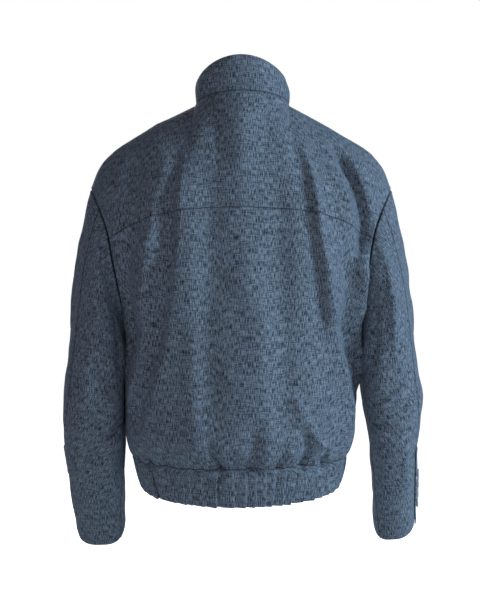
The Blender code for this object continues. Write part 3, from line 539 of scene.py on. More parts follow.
def armhole(j, side):
    """The armhole at column numbers from 0 at the armpit up the back, 12 at the shoulder tip, down the
    front to 24: the side edges of the back, the yoke and the front."""
    j = np.mod(np.asarray(j, float), ARMHOLE_POINTS)
    edge = np.full_like(j, float(side))
    back_row = np.interp(j, (0, 1, 2, 3, 4, 5), (4, 4.5, 5, 5.5, 6, 7))
    front_row = np.interp(j, (20, 24), (6, 4))
    points = np.where(
        (j < 5)[:, None],
        across(BACK_SECTIONS, back_row, edge),
        np.where(
            (j < 12)[:, None],
            back_top(edge, np.clip((j - 5) / 7, 0, 1)),
            np.where(
                (j < 20)[:, None],
                front_top(edge, np.clip(1 - (j - 12) / 8, 0, 1)),
                across(FRONT_SECTIONS, front_row, edge),
            ),
        ),
    )
    return leaned(points)


# Collar and hem bands


def collar_surface():
    """The stand collar: straight lines from the neck seam to the top ring, swelled outward by the sine of the
    height, most at the sides and not at all at the centre back."""
    share, f = np.meshgrid(2 * ladder(0.44, 0.0022) - 1, ladder(0.062, 0.0016))
    side = np.where(share < 0, -1.0, 1.0)
    low = ring_point(NECK_SEAM, share)
    top = ring_point(COLLAR_TOP, share * (1 - 0.012 * f))
    angle = np.pi * np.abs(share)
    out = np.stack([np.sin(angle) * side, np.cos(angle), np.zeros_like(angle)], axis=-1)
    swell = COLLAR_SWELL * np.sin(np.pi * f) * np.sin(angle)
    return low + (top - low) * f[..., None] + out * swell[..., None]


def band_back_surface(seam):
    """The gathered band at the back: from the body's hem seam down to the band's edge, pushed out and in by
    the gathers and swelled by the sine of the way down."""
    share = seam_share(seam)
    f = ladder(0.058, 0.0020)[::-1]
    s, down = np.meshgrid(share, f)
    low = across((BAND_BACK, BAND_BACK), np.zeros_like(s), s)
    low[..., 2] = BAND_BACK.mid_height + (BAND_BACK.edge_height - BAND_BACK.mid_height) * np.abs(s) ** 1.8
    top = across((BACK_SECTIONS[0], BACK_SECTIONS[0]), np.zeros_like(s), s)
    turn = np.radians(90 * s)
    out = np.stack([np.sin(turn), np.cos(turn), np.zeros_like(turn)], axis=-1)
    held = smooth((1 - np.abs(s)) / 0.03)
    height = gathers(90 * s, np.zeros_like(s), down) * held
    plain = top + (low - top) * down[..., None] + out * (0.002 * np.sin(np.pi * down) + height
        * smooth(down / 0.25))[..., None]
    plain[..., 2] -= 0.45 * height * smooth((down - 0.6) / 0.4)
    return plain + (seam - top[-1])[None] * (1 - smooth(down / 0.25))[..., None]


def seam_share(seam):
    """The share across of each point of the back's hem seam, from its angle round the body."""
    return np.clip(np.degrees(np.arctan2(seam[:, 0] / 0.16, seam[:, 1] / 0.116)) / 90, -1, 1)


def band_front_surface(side):
    """The plain band below one front: straight lines from the hem seam to the band's edge, with a small
    swell."""
    s, down = np.meshgrid(ladder(0.22, 0.0026), ladder(0.055, 0.0020)[::-1])
    top = across((FRONT_SECTIONS[0], FRONT_SECTIONS[0]), np.zeros_like(s), s)
    low = across((BAND_FRONT, BAND_FRONT), np.zeros_like(s), s)
    low[..., 2] = BAND_FRONT.mid_height + (BAND_FRONT.edge_height - BAND_FRONT.mid_height) * s**1.8
    turn = np.radians(90 * s)
    out = np.stack([np.sin(turn), -np.cos(turn), np.zeros_like(turn)], axis=-1)
    grid = top + (low - top) * down[..., None] + out * (0.002 * np.sin(np.pi * down))[..., None]
    return grid * np.array([side, 1, 1])


# Sleeves


def arm_point(arms, at, angle):
    """A point of the sleeve at a fractional section number and an angle in degrees from its inner point: a
    rounded ring, blunt on the inner side with a bell-shaped dent, tilted and hanging lower at the back."""
    arm = Arm(*np.moveaxis(through(arms, at), -1, 0))
    turn = np.radians(angle)
    half = (arm.outer - arm.inner) / 2
    inward, backward = np.cos(turn), np.sin(turn)
    y = arm.half_depth * np.sign(backward) * np.abs(backward) ** 0.95
    inner_x = -half * np.abs(inward) ** 0.55 + arm.dent * np.exp(-((y / DENT_DEPTH) ** 2))
    x = np.where(inward > 0, inner_x, half * np.abs(inward) ** 0.9)
    z = (arm.inner_z + arm.outer_z) / 2 + (arm.inner_z - arm.outer_z) / 2 * inward - arm.back_drop * backward
    return np.stack([(arm.inner + arm.outer) / 2 + x, arm.depth + y, z], axis=-1)


def arm_angle(arms, at, j):
    """The angle of a column at a section: spread evenly between the hind and the fore seam on each half."""
    arm = Arm(*np.moveaxis(through(arms, at), -1, 0))
    under = HIND_SEAM + ARMHOLE_POINTS - FORE_SEAM
    on_under = arm.fore + (arm.hind - arm.fore) * (j + ARMHOLE_POINTS - FORE_SEAM) / under
    on_upper = arm.hind + (arm.fore + 360 - arm.hind) * (j - HIND_SEAM) / (FORE_SEAM - HIND_SEAM)
    return np.where(j <= HIND_SEAM, on_under, on_upper)


def sleeve_surface(side, j, q):
    """A sleeve at column numbers j and rows q: below 1 the cap, a Hermite curve from the armhole to the first
    section, and from 1 to 6 the sections."""
    arms = ARMS[side]
    mirror = np.array([side, 1, 1])
    start = armhole(j[0], side)[None]
    over = (1 - np.cos(2 * np.pi * j / ARMHOLE_POINTS)) / 2
    swing = 0.22 * np.sin(2 * np.pi * j / ARMHOLE_POINTS)
    leave = unit(np.stack([side * (0.62 - 0.42 * over), swing, np.full_like(over, -0.8)], axis=-1))
    zero, quarter = np.zeros_like(j), np.full_like(j, 0.25)
    end = arm_point(arms, zero, arm_angle(arms, zero, j)) * mirror
    below = arm_point(arms, quarter, arm_angle(arms, quarter, j)) * mirror
    reach = np.linalg.norm(end - start, axis=-1, keepdims=True)
    cap = curve(start, leave * reach, end, unit(below - end) * reach, np.minimum(q, 1)[..., None])
    at = np.maximum(q - 1, 0)
    lower = arm_point(arms, at, arm_angle(arms, at, j)) * mirror
    return np.where((q < 1)[..., None], cap, lower)


def sleeve_rows():
    """Row numbers from the cuff up to the armhole, close together at both ends."""
    length = ladder(0.56, 0.0034)
    return np.interp(length, (0, 0.70, 1), (6, 1, 0))


def sleeve_half(side, part):
    """The upper or the under sleeve's grid, cuff first."""
    first, last, width = {"under": (FORE_SEAM - ARMHOLE_POINTS, HIND_SEAM, 0.15),
        "upper": (HIND_SEAM, FORE_SEAM, 0.19)}[part]
    j, q = np.meshgrid(first + (last - first) * ladder(width, 0.0026), sleeve_rows())
    grid = sleeve_surface(side, j, q)
    around = sleeve_surface(side, *np.meshgrid(np.arange(ARMHOLE_POINTS) - 0.5 * ARMHOLE_POINTS,
        sleeve_rows()))
    sign = facing(grid, around.mean(axis=1, keepdims=True))
    held = smooth(np.minimum(j - first, last - j) / 0.8) * smooth(q / 0.25) * smooth((6 - q) / 0.3)
    return grid + normals(grid) * (1.3 * sign * held * crease_rise(j, q, CREASES[side]))[..., None]


# Meshes


def cloth_map(grid):
    """The cloth's own coordinates in metres: lengths run along the rows from the middle column and up the
    columns from the foot."""
    d = side_distances(grid)
    middle = grid.shape[1] // 2
    return np.stack([d["first"] - d["first"][:, middle : middle + 1], d["foot"]], axis=-1)


def facing(grid, inside):
    """1 where columns crossed with rows point away from the inside points, -1 where they point at them."""
    return 1 if (normals(grid) * (grid - inside)).sum() > 0 else -1


def seam_way(grid, outward):
    """The direction that seams are pressed along: the cloth's normal, but level and straight out from the
    middle of the body near the hem seam, and from the middle of the neck near the collar's, so that both
    cloths move alike."""
    x, y, z = grid[..., 0], grid[..., 1], grid[..., 2]
    near_hem = smooth((-0.46 - z) / 0.03)
    near_neck = smooth((0.090 - np.hypot(x, y + 0.006)) / 0.012) * (z > -0.1)
    from_body = unit(np.stack([x / 0.16**2, y / 0.116**2, 0 * z], axis=-1))
    from_neck = unit(np.stack([x, y + 0.006, 0 * z], axis=-1))
    rest = 1 - np.clip(near_hem + near_neck, 0, 1)
    return unit(outward * rest[..., None] + from_body * near_hem[..., None] + from_neck
        * near_neck[..., None])


def pressed(grid, outward, seams, groove, width):
    """The grid with its seam edges pressed in: a bell of the distance from each named side, less a lower bell
    beside it where the cloth rolls up out of the seam."""
    d = side_distances(grid)
    dip = sum(
        groove * scale * (np.exp(-((d[name] / width) ** 2)) - 0.4 * np.exp(-((d[name] / width - 2.3) ** 2)))
        for name, scale in seams.items()
    )
    return grid - seam_way(grid, outward) * np.asarray(dip)[..., None]


def unevenness(grid, seed):
    """The cloth's soft unevenness: a sum of ten sines across it in seeded directions, 25 to 90 mm long, and
    short puckers beside its foot and top, all fading to nothing at its edges."""
    rng = np.random.default_rng(seed)
    u, v = np.moveaxis(cloth_map(grid), -1, 0)
    d = side_distances(grid)
    total = np.zeros_like(u)
    for turn, length, phase in zip(rng.uniform(0, np.pi, 10), rng.uniform(0.025, 0.09, 10),
            rng.uniform(0, 6.3, 10)):
        total += np.sin((u * np.cos(turn) + v * np.sin(turn)) * 2 * np.pi / length + phase) * length
    total *= UNEVENNESS
    for side in ("foot", "top"):
        drift = np.sin(u * 70 + rng.uniform(0, 6.3)) + np.sin(u * 163 + rng.uniform(0, 6.3))
        total += PUCKER * np.sin(u * 2 * np.pi / 0.012 + drift) * (0.6 + 0.4
            * np.sin(u * 41)) * np.exp(-d[side] / 0.009)
    nearest = np.min([d[side] for side in d], axis=0)
    return total * smooth(nearest / 0.010)


def shell(name, grid, sign, thickness, seams=(), free=(), material=None):
    """A closed cloth wall. The outer points are the grid, pressed at its seams and rounded at its free
    edges; the inner points lie a thickness behind them, and a rim joins the two along the four sides."""
    sizes = bpy.context.scene.jacket_sizes
    outward = normals(grid) * sign
    grid = grid + outward * unevenness(grid, len(name) * 7 + ord(name[-7]))[..., None]
    outward = normals(grid) * sign
    seams = dict(seams)
    outer = pressed(grid, outward, seams, sizes.groove_depth, sizes.groove_width) if seams else grid
    d = side_distances(grid)
    thin = np.zeros(grid.shape[:2])
    for side in free:
        thin = np.maximum(thin, np.exp(-((d[side] / 0.0016) ** 2)))
    outer = outer - outward * (0.30 * thickness * thin)[..., None]
    inner = grid - outward * (thickness * (1 - 0.30 * thin))[..., None]
    rows, columns = grid.shape[:2]
    count = rows * columns
    at = np.arange(count).reshape(rows, columns)
    a, b, c, e = at[:-1, :-1].ravel(), at[:-1, 1:].ravel(), at[1:, 1:].ravel(), at[1:, :-1].ravel()
    front = np.stack([a, b, c, e], axis=1)
    border = np.concatenate([at[0, :], at[1:, -1], at[-1, -2::-1], at[-2:0:-1, 0]])
    after = np.roll(border, -1)
    rim = np.stack([after, border, border + count, after + count], axis=1)
    faces = np.concatenate([front, front[:, ::-1] + count, rim])
    if sign < 0:
        faces = faces[:, ::-1]
    points = np.concatenate([outer.reshape(-1, 3), inner.reshape(-1, 3)])
    mesh = bpy.data.meshes.new(name)
    mesh.from_pydata(points.tolist(), [], faces.tolist())
    uv = np.tile(cloth_map(grid).reshape(-1, 2), (2, 1))
    layer = mesh.uv_layers.new(name="Cloth")
    corners = np.empty(len(mesh.loops), np.int32)
    mesh.loops.foreach_get("vertex_index", corners)
    layer.data.foreach_set("uv", uv[corners].astype(np.float32).ravel())
    # Painted shade: a mask beside each seam, stronger for deeper seams, that darkens the cloth colour in the
    # seam grooves.
    painted_seam_shade = np.zeros(grid.shape[:2])
    for side, scale in seams.items():
        painted_seam_shade = np.maximum(painted_seam_shade, min(0.5 + scale / 2, 1)
            * np.exp(-((d[side] / (0.0005 + 0.0008 * scale)) ** 2)))
    # The seam attribute carries the painted seam shade to the material; the edge attribute marks the thinned
    # free edges.
    for label, values in (("seam", painted_seam_shade), ("edge", thin)):
        attribute = mesh.attributes.new(label, "FLOAT", "POINT")
        attribute.data.foreach_set("value", np.tile(values.ravel(), 2).astype(np.float32))
    mesh.shade_smooth()
    mesh.materials.append(material or wool())
    piece = bpy.data.objects.new(name, mesh)
    bpy.context.scene.collection.objects.link(piece)
    return piece


# The cut of each piece: the flat width and length of its blank, its flat area, and how it is held
Cut = namedtuple("Cut", "width length area held rests_on")
CUTS = {
    "back": Cut(0.53, 0.39, 0.175, "gathered", ("hem_band_back", "back_yoke")),
    "back_yoke": Cut(0.64, 0.22, 0.090, "draped", ("back", "collar")),
    "front_left": Cut(0.345, 0.55, 0.113, "draped", ("back_yoke", "hem_band_left")),
    "front_right": Cut(0.345, 0.55, 0.113, "draped", ("back_yoke", "hem_band_right")),
    "front_placket": Cut(0.050, 0.495, 0.023, "laid", ("front_left", "front_right")),
    "collar": Cut(0.490, 0.052, 0.021, "draped", ("back_yoke",)),
    "hem_band_back": Cut(0.50, 0.060, 0.027, "gathered", ("back",)),
    "hem_band_left": Cut(0.217, 0.052, 0.0107, "draped", ("front_left",)),
    "hem_band_right": Cut(0.217, 0.052, 0.0107, "draped", ("front_right",)),
    "upper_sleeve": Cut(0.245, 0.54, 0.092, "draped", ("back_yoke",)),
    "under_sleeve": Cut(0.315, 0.53, 0.063, "draped", ("back",)),
    "vent": Cut(0.037, 0.150, 0.0045, "laid", ("upper_sleeve",)),
}


def dress(piece, node):
    """Puts a finished piece in the frame: it rides on the root and stands for its node."""
    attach(piece, "root")
    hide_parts(node)
    return piece


# Materials


def group_tree(name, inputs, outputs):
    """A new shader node group with named inputs and outputs."""
    tree = bpy.data.node_groups.new(name, "ShaderNodeTree")
    for label, kind, default in inputs:
        socket = tree.interface.new_socket(name=label, in_out="INPUT", socket_type=kind)
        if default is not None:
            socket.default_value = default
    for label, kind in outputs:
        tree.interface.new_socket(name=label, in_out="OUTPUT", socket_type=kind)
    return tree, tree.nodes.new("NodeGroupInput"), tree.nodes.new("NodeGroupOutput")


def node(tree, kind, links=(), **settings):
    """A node with its settings and its inputs, each a value or another node's output."""
    made = tree.nodes.new(kind)
    for key, value in settings.items():
        setattr(made, key, value)
    for key, value in dict(links).items():
        if isinstance(value, bpy.types.NodeSocket):
            tree.links.new(value, made.inputs[key])
        else:
            made.inputs[key].default_value = value
    return made


def math_node(tree, operation, a, b=0.0):
    """The result of one operation on two values or outputs."""
    return node(tree, "ShaderNodeMath", {0: a, 1: b}, operation=operation).outputs[0]


def melange_group():
    """Pale and dark yarns as a mask from 0 to 1: noise drawn out along the warp, some along the weft, and a
    grain."""
    found = bpy.data.node_groups.get("Melange yarns")
    if found:
        return found
    tree, given, out = group_tree(
        "Melange yarns",
        [("Cloth", "NodeSocketVector", None), ("Streak width", "NodeSocketFloat", 0.0011),
            ("Streak length", "NodeSocketFloat", 0.0045)],
        [("Mask", "NodeSocketFloat")],
    )
    parts = node(tree, "ShaderNodeSeparateXYZ", {0: given.outputs["Cloth"]})
    total = 0.0
    for first, second, seed, share in (
        ("Streak width", "Streak length", 0.0, 0.50),
        ("Streak length", "Streak width", 3.7, 0.26),
        ("Streak width", "Streak width", 8.1, 0.24),
    ):
        x = math_node(tree, "DIVIDE", parts.outputs[0], given.outputs[first])
        y = math_node(tree, "DIVIDE", parts.outputs[1], given.outputs[second])
        place = node(tree, "ShaderNodeCombineXYZ", {0: x, 1: y, 2: seed})
        noise = node(tree, "ShaderNodeTexNoise", {"Vector": place.outputs[0], "Scale": 1.0, "Detail": 0.0})
        total = math_node(tree, "ADD", total, math_node(tree, "MULTIPLY", noise.outputs["Fac"], share))
    spread = node(tree, "ShaderNodeMapRange", {0: total, 1: 0.40, 2: 0.60, 3: 0.0, 4: 1.0})
    tree.links.new(spread.outputs[0], out.inputs["Mask"])
    return tree


def weave_group():
    """A plain weave: warp and weft yarns that pass over each other in turn, as a height from 0 to 1."""
    found = bpy.data.node_groups.get("Plain weave")
    if found:
        return found
    tree, given, out = group_tree(
        "Plain weave", [("Cloth", "NodeSocketVector", None), ("Yarn spacing", "NodeSocketFloat", 0.0007)],
        [("Height", "NodeSocketFloat")]
    )
    parts = node(tree, "ShaderNodeSeparateXYZ", {0: given.outputs["Cloth"]})
    turns = [
        math_node(tree, "MULTIPLY", math_node(tree, "DIVIDE", parts.outputs[k],
            given.outputs["Yarn spacing"]), math.pi)
        for k in (0, 1)
    ]
    sines = [math_node(tree, "SINE", turn) for turn in turns]
    product = math_node(tree, "MULTIPLY", sines[0], sines[1])
    height = node(tree, "ShaderNodeMapRange", {0: product, 1: -1.0, 2: 1.0, 3: 0.0, 4: 1.0})
    tree.links.new(height.outputs[0], out.inputs["Height"])
    return tree


def wool():
    """The jacket's cloth: dark and pale slate yarns, with painted shade darkening its colour along the seams,
    and a soft nap.
    """
    found = bpy.data.materials.get("slate_wool")
    if found:
        return found
    colours = bpy.context.scene.jacket_colours
    material = bpy.data.materials.new("slate_wool")
    material.use_nodes = True
    tree = material.node_tree
    shader = tree.nodes["Principled BSDF"]
    cloth = node(tree, "ShaderNodeUVMap", uv_map="Cloth").outputs[0]
    yarns = node(tree, "ShaderNodeGroup", node_tree=melange_group())
    tree.links.new(cloth, yarns.inputs["Cloth"])
    yarns.inputs["Streak width"].default_value = 0.0010
    yarns.inputs["Streak length"].default_value = 0.0090
    weave = node(tree, "ShaderNodeGroup", node_tree=weave_group())
    tree.links.new(cloth, weave.inputs["Cloth"])
    weave.inputs["Yarn spacing"].default_value = 0.0007
    tint = node(tree, "ShaderNodeMix", data_type="RGBA")
    tree.links.new(yarns.outputs["Mask"], tint.inputs[0])
    tint.inputs[6].default_value = (*colours.dark_yarn, 1)
    tint.inputs[7].default_value = (*colours.pale_yarn, 1)
    # Painted shade: the seam attribute mixes the cloth colour up to 0.9 of the way towards a quarter of the
    # dark yarn along the seam grooves.
    seam = node(tree, "ShaderNodeAttribute", attribute_name="seam")
    shade = node(tree, "ShaderNodeMix", {0: math_node(tree, "MULTIPLY", seam.outputs["Fac"], 0.9)},
        data_type="RGBA")
    tree.links.new(tint.outputs[2], shade.inputs[6])
    shade.inputs[7].default_value = (*[c * 0.25 for c in colours.dark_yarn], 1)
    tree.links.new(shade.outputs[2], shader.inputs["Base Color"])
    rough = node(tree, "ShaderNodeMapRange", {0: yarns.outputs["Mask"], 1: 0.0, 2: 1.0, 3: 0.92, 4: 0.78})
    tree.links.new(rough.outputs[0], shader.inputs["Roughness"])
    relief = math_node(tree, "ADD", math_node(tree, "MULTIPLY", yarns.outputs["Mask"], 0.5),
        math_node(tree, "MULTIPLY", weave.outputs["Height"], 0.5))
    bump = node(tree, "ShaderNodeBump", {"Strength": 0.35, "Distance": 0.0004, "Height": relief})
    tree.links.new(bump.outputs[0], shader.inputs["Normal"])
    shader.inputs["Sheen Weight"].default_value = 0.12
    shader.inputs["Sheen Roughness"].default_value = 0.5
    shader.inputs["Sheen Tint"].default_value = (0.62, 0.75, 1.0, 1)
    shader.inputs["Specular IOR Level"].default_value = 0.25
    return material


def horn():
    """The cuff buttons: pale, softly polished, with cloudy streaks and dark holes."""
    found = bpy.data.materials.get("pale_horn")
    if found:
        return found
    colours = bpy.context.scene.jacket_colours
    material = bpy.data.materials.new("pale_horn")
    material.use_nodes = True
    tree = material.node_tree
    shader = tree.nodes["Principled BSDF"]
    place = node(tree, "ShaderNodeTexCoord").outputs["Object"]
    noise = node(tree, "ShaderNodeTexNoise", {"Vector": place, "Scale": 260.0, "Detail": 3.0,
        "Distortion": 1.5})
    tint = node(tree, "ShaderNodeMix", {0: noise.outputs["Fac"]}, data_type="RGBA")
    tint.inputs[6].default_value = (*[c * 0.72 for c in colours.button], 1)
    tint.inputs[7].default_value = (*[min(c * 1.25, 1) for c in colours.button], 1)
    hole = node(tree, "ShaderNodeAttribute", attribute_name="hole")
    dark = node(tree, "ShaderNodeMix", {0: hole.outputs["Fac"]}, data_type="RGBA")
    tree.links.new(tint.outputs[2], dark.inputs[6])
    dark.inputs[7].default_value = (0.02, 0.02, 0.022, 1)
    tree.links.new(dark.outputs[2], shader.inputs["Base Color"])
    rough = node(tree, "ShaderNodeMapRange", {0: noise.outputs["Fac"], 1: 0.3, 2: 0.7, 3: 0.28, 4: 0.42})
    tree.links.new(rough.outputs[0], shader.inputs["Roughness"])
    shader.inputs["Coat Weight"].default_value = 0.3
    shader.inputs["Coat Roughness"].default_value = 0.2
    return material


# Settings


class JacketSizes(bpy.types.PropertyGroup):
    """Sizes that a user may change."""

    cloth: FloatProperty(name="Cloth", description="Thickness of the single cloth", default=0.0020,
        unit="LENGTH")
    double_cloth: FloatProperty(name="Double cloth", description="Thickness of the collar and hem bands",
        default=0.0026, unit="LENGTH")
    groove_depth: FloatProperty(name="Seam depth", description="How far the cloth is pressed in at a seam",
        default=0.0009, unit="LENGTH")
    groove_width: FloatProperty(name="Seam width",
        description="How wide the pressed strip beside a seam is", default=0.0016, unit="LENGTH")
    button_radius: FloatProperty(name="Button radius", description="Radius of the cuff buttons",
        default=0.0075, unit="LENGTH")
    button_height: FloatProperty(name="Button height", description="Height of the cuff buttons",
        default=0.0032, unit="LENGTH")
    button_pitch: FloatProperty(name="Button pitch",
        description="Distance from one cuff button to the next", default=0.0168, unit="LENGTH")
    first_button: FloatProperty(name="First button",
        description="Height of the lowest button above the cuff's edge", default=0.030, unit="LENGTH")


class JacketColours(bpy.types.PropertyGroup):
    """Colours that a user may change."""

    dark_yarn: FloatVectorProperty(name="Dark yarn", description="Colour of the dark yarns",
        default=(0.018, 0.026, 0.038), size=3, subtype="COLOR", min=0, max=1)
    pale_yarn: FloatVectorProperty(name="Pale yarn", description="Colour of the pale yarns",
        default=(0.175, 0.225, 0.285), size=3, subtype="COLOR", min=0, max=1)
    button: FloatVectorProperty(name="Button", description="Colour of the cuff buttons",
        default=(0.50, 0.48, 0.47), size=3, subtype="COLOR", min=0, max=1)


# Operators


class JACKET_OT_back(bpy.types.Operator):
    """Makes the back panel, gathered into the hem band"""

    bl_idname = "jacket.back"
    bl_label = "Back"

    def execute(self, context):
        grid = leaned(body()[0])
        seams = {"foot": 0.6, "top": 0.5, "first": 1.5, "last": 1.5}
        piece = shell("back_panel", grid, -1, context.scene.jacket_sizes.cloth, seams)
        dress(piece, "back")
        return {"FINISHED"}


class JACKET_OT_yoke(bpy.types.Operator):
    """Makes the back yoke, over both shoulders"""

    bl_idname = "jacket.yoke"
    bl_label = "Back yoke"

    def execute(self, context):
        grid = leaned(body()[1])
        seams = {"foot": 0.5, "top": 0.6, "first": 1.5, "last": 1.5}
        piece = shell("back_yoke_panel", grid, -1, context.scene.jacket_sizes.cloth, seams)
        dress(piece, "back_yoke")
        return {"FINISHED"}


class JACKET_OT_fronts(bpy.types.Operator):
    """Makes the two fronts"""

    bl_idname = "jacket.fronts"
    bl_label = "Fronts"

    def execute(self, context):
        for side, grid in body()[2].items():
            seams = {"foot": 0.6, "top": 0.6, "last": 1.2}
            name = "front_" + WORDS[side]
            piece = shell(name + "_panel", leaned(grid), side, context.scene.jacket_sizes.cloth, seams)
            dress(piece, name)
        return {"FINISHED"}


class JACKET_OT_collar(bpy.types.Operator):
    """Makes the stand collar"""

    bl_idname = "jacket.collar"
    bl_label = "Collar"

    def execute(self, context):
        grid = leaned(collar_surface())
        sign = facing(grid, grid * np.array([0, 0, 1]))
        piece = shell("stand_collar", grid, sign, context.scene.jacket_sizes.double_cloth, {"foot": 0.6},
            ("top", "first", "last"))
        dress(piece, "collar")
        return {"FINISHED"}


class JACKET_OT_hem_bands(bpy.types.Operator):
    """Makes the gathered hem band at the back and the two plain ones in front"""

    bl_idname = "jacket.hem_bands"
    bl_label = "Hem bands"

    def execute(self, context):
        thickness = context.scene.jacket_sizes.double_cloth
        grid = leaned(band_back_surface(body()[0][0]))
        sign = facing(grid, grid * np.array([0, 0, 1]))
        piece = shell("hem_band_back_panel", grid, sign, thickness, {"top": 0.6, "first": 1.0, "last": 1.0},
            ("foot",))
        dress(piece, "hem_band_back")
        for side in (1, -1):
            name = "hem_band_" + WORDS[side]
            grid = leaned(band_front_surface(side))
            sign = facing(grid, grid * np.array([0, 0, 1]))
            piece = shell(name + "_panel", grid, sign, thickness, {"top": 0.6, "last": 1.0}, ("foot",))
            dress(piece, name)
        return {"FINISHED"}


class JACKET_OT_placket(bpy.types.Operator):
    """Makes the fly placket over the centre front"""

    bl_idname = "jacket.placket"
    bl_label = "Front placket"

    def execute(self, context):
        thickness = context.scene.jacket_sizes.cloth
        share, row = np.meshgrid((2 * ladder(0.048, 0.0015) - 1) * PLACKET_SHARE,
            ladder(0.30, 0.0030, 0.0006, 6) * 6)
        lower = across(FRONT_SECTIONS, row, share)
        share, f = np.meshgrid((2 * ladder(0.048, 0.0015) - 1) * PLACKET_SHARE,
            ladder(0.19, 0.0030, 0.0006, 6) * 0.86)
        upper = front_top(share, f)
        share, down = np.meshgrid((2 * ladder(0.048, 0.0015) - 1) * PLACKET_SHARE, ladder(0.05, 0.0020)[::-1])
        top = across((FRONT_SECTIONS[0],) * 2, np.zeros_like(share), share)
        low = across((BAND_FRONT,) * 2, np.zeros_like(share), share)
        band = top + (low - top) * down[..., None]
        grid = leaned(np.concatenate([band[:-1], lower, upper[1:]]))
        sign = facing(grid, grid * np.array([0, 0, 1]))
        outward = normals(grid) * sign
        grid = grid + outward * (0.0003 + thickness)
        piece = shell("fly_placket", grid, sign, thickness, {}, ("foot", "top", "first", "last"))
        dress(piece, "front_placket")
        return {"FINISHED"}


class JACKET_OT_sleeves(bpy.types.Operator):
    """Makes the upper and under sleeves"""

    bl_idname = "jacket.sleeves"
    bl_label = "Sleeves"

    def execute(self, context):
        for side in (1, -1):
            halves = {part: sleeve_half(side, part) for part in ("under", "upper")}
            middle = np.concatenate(list(halves.values()), axis=1).mean(axis=1, keepdims=True)
            for part, grid in halves.items():
                name = f"{part}_sleeve_{WORDS[side]}"
                sign = facing(grid, middle)
                seams = {"top": 1.6, "first": 0.9, "last": 0.9}
                piece = shell(name + "_panel", grid, sign, context.scene.jacket_sizes.cloth, seams, ("foot",))
                dress(piece, name)
        return {"FINISHED"}


class JACKET_OT_vents(bpy.types.Operator):
    """Makes the vent strip at each cuff"""

    bl_idname = "jacket.vents"
    bl_label = "Cuff vents"

    def execute(self, context):
        thickness = context.scene.jacket_sizes.cloth
        for side in (1, -1):
            first, last = HIND_SEAM + 0.02, HIND_SEAM + VENT_COLUMNS
            j, q = np.meshgrid(first + (last - first) * ladder(0.03, 0.0015),
                6 - VENT_ROWS * ladder(0.12, 0.0025))
            grid = sleeve_surface(side, j, q)
            whole = sleeve_half(side, "upper")
            sign = facing(whole, np.concatenate([whole, sleeve_half(side, "under")], axis=1).mean(axis=1,
                keepdims=True))
            grid = grid + normals(grid) * sign * (0.0003 + thickness)
            name = "vent_" + WORDS[side]
            piece = shell(name + "_strip", grid, sign, thickness, {}, ("foot", "top", "first", "last"))
            cut = CUTS["vent"]._replace(rests_on=(f"upper_sleeve_{WORDS[side]}",))
            dress(piece, name)
        return {"FINISHED"}


class JACKET_OT_buttons(bpy.types.Operator):
    """Makes the four sewn buttons at each cuff"""

    bl_idname = "jacket.buttons"
    bl_label = "Cuff buttons"

    def execute(self, context):
        sizes = context.scene.jacket_sizes
        for side, arms in ARMS.items():
            last = float(len(arms) - 1)
            foot = arm_point(arms, last, 0.0)
            step = np.linalg.norm(arm_point(arms, last - 1, 0.0) - foot)
            for k in range(4):
                at = last - (sizes.first_button + k * sizes.button_pitch) / step
                angle = float(arm_angle(arms, at, HIND_SEAM + 1.0))
                middle = arm_point(arms, at, angle)
                around = arm_point(arms, at, angle + 4) - arm_point(arms, at, angle - 4)
                upward = arm_point(arms, at - 0.05, angle) - arm_point(arms, at + 0.05, angle)
                normal = unit(np.cross(upward, around))
                centre = middle + normal * (2 * 0.0003 + sizes.cloth)
                mirror = np.array([side, 1, 1])
                name = f"cuff_button_{WORDS[side]}_{k + 1}"
                piece = button(name + "_round", centre * mirror, normal * mirror, upward * mirror)
                dress(piece, name)
        return {"FINISHED"}


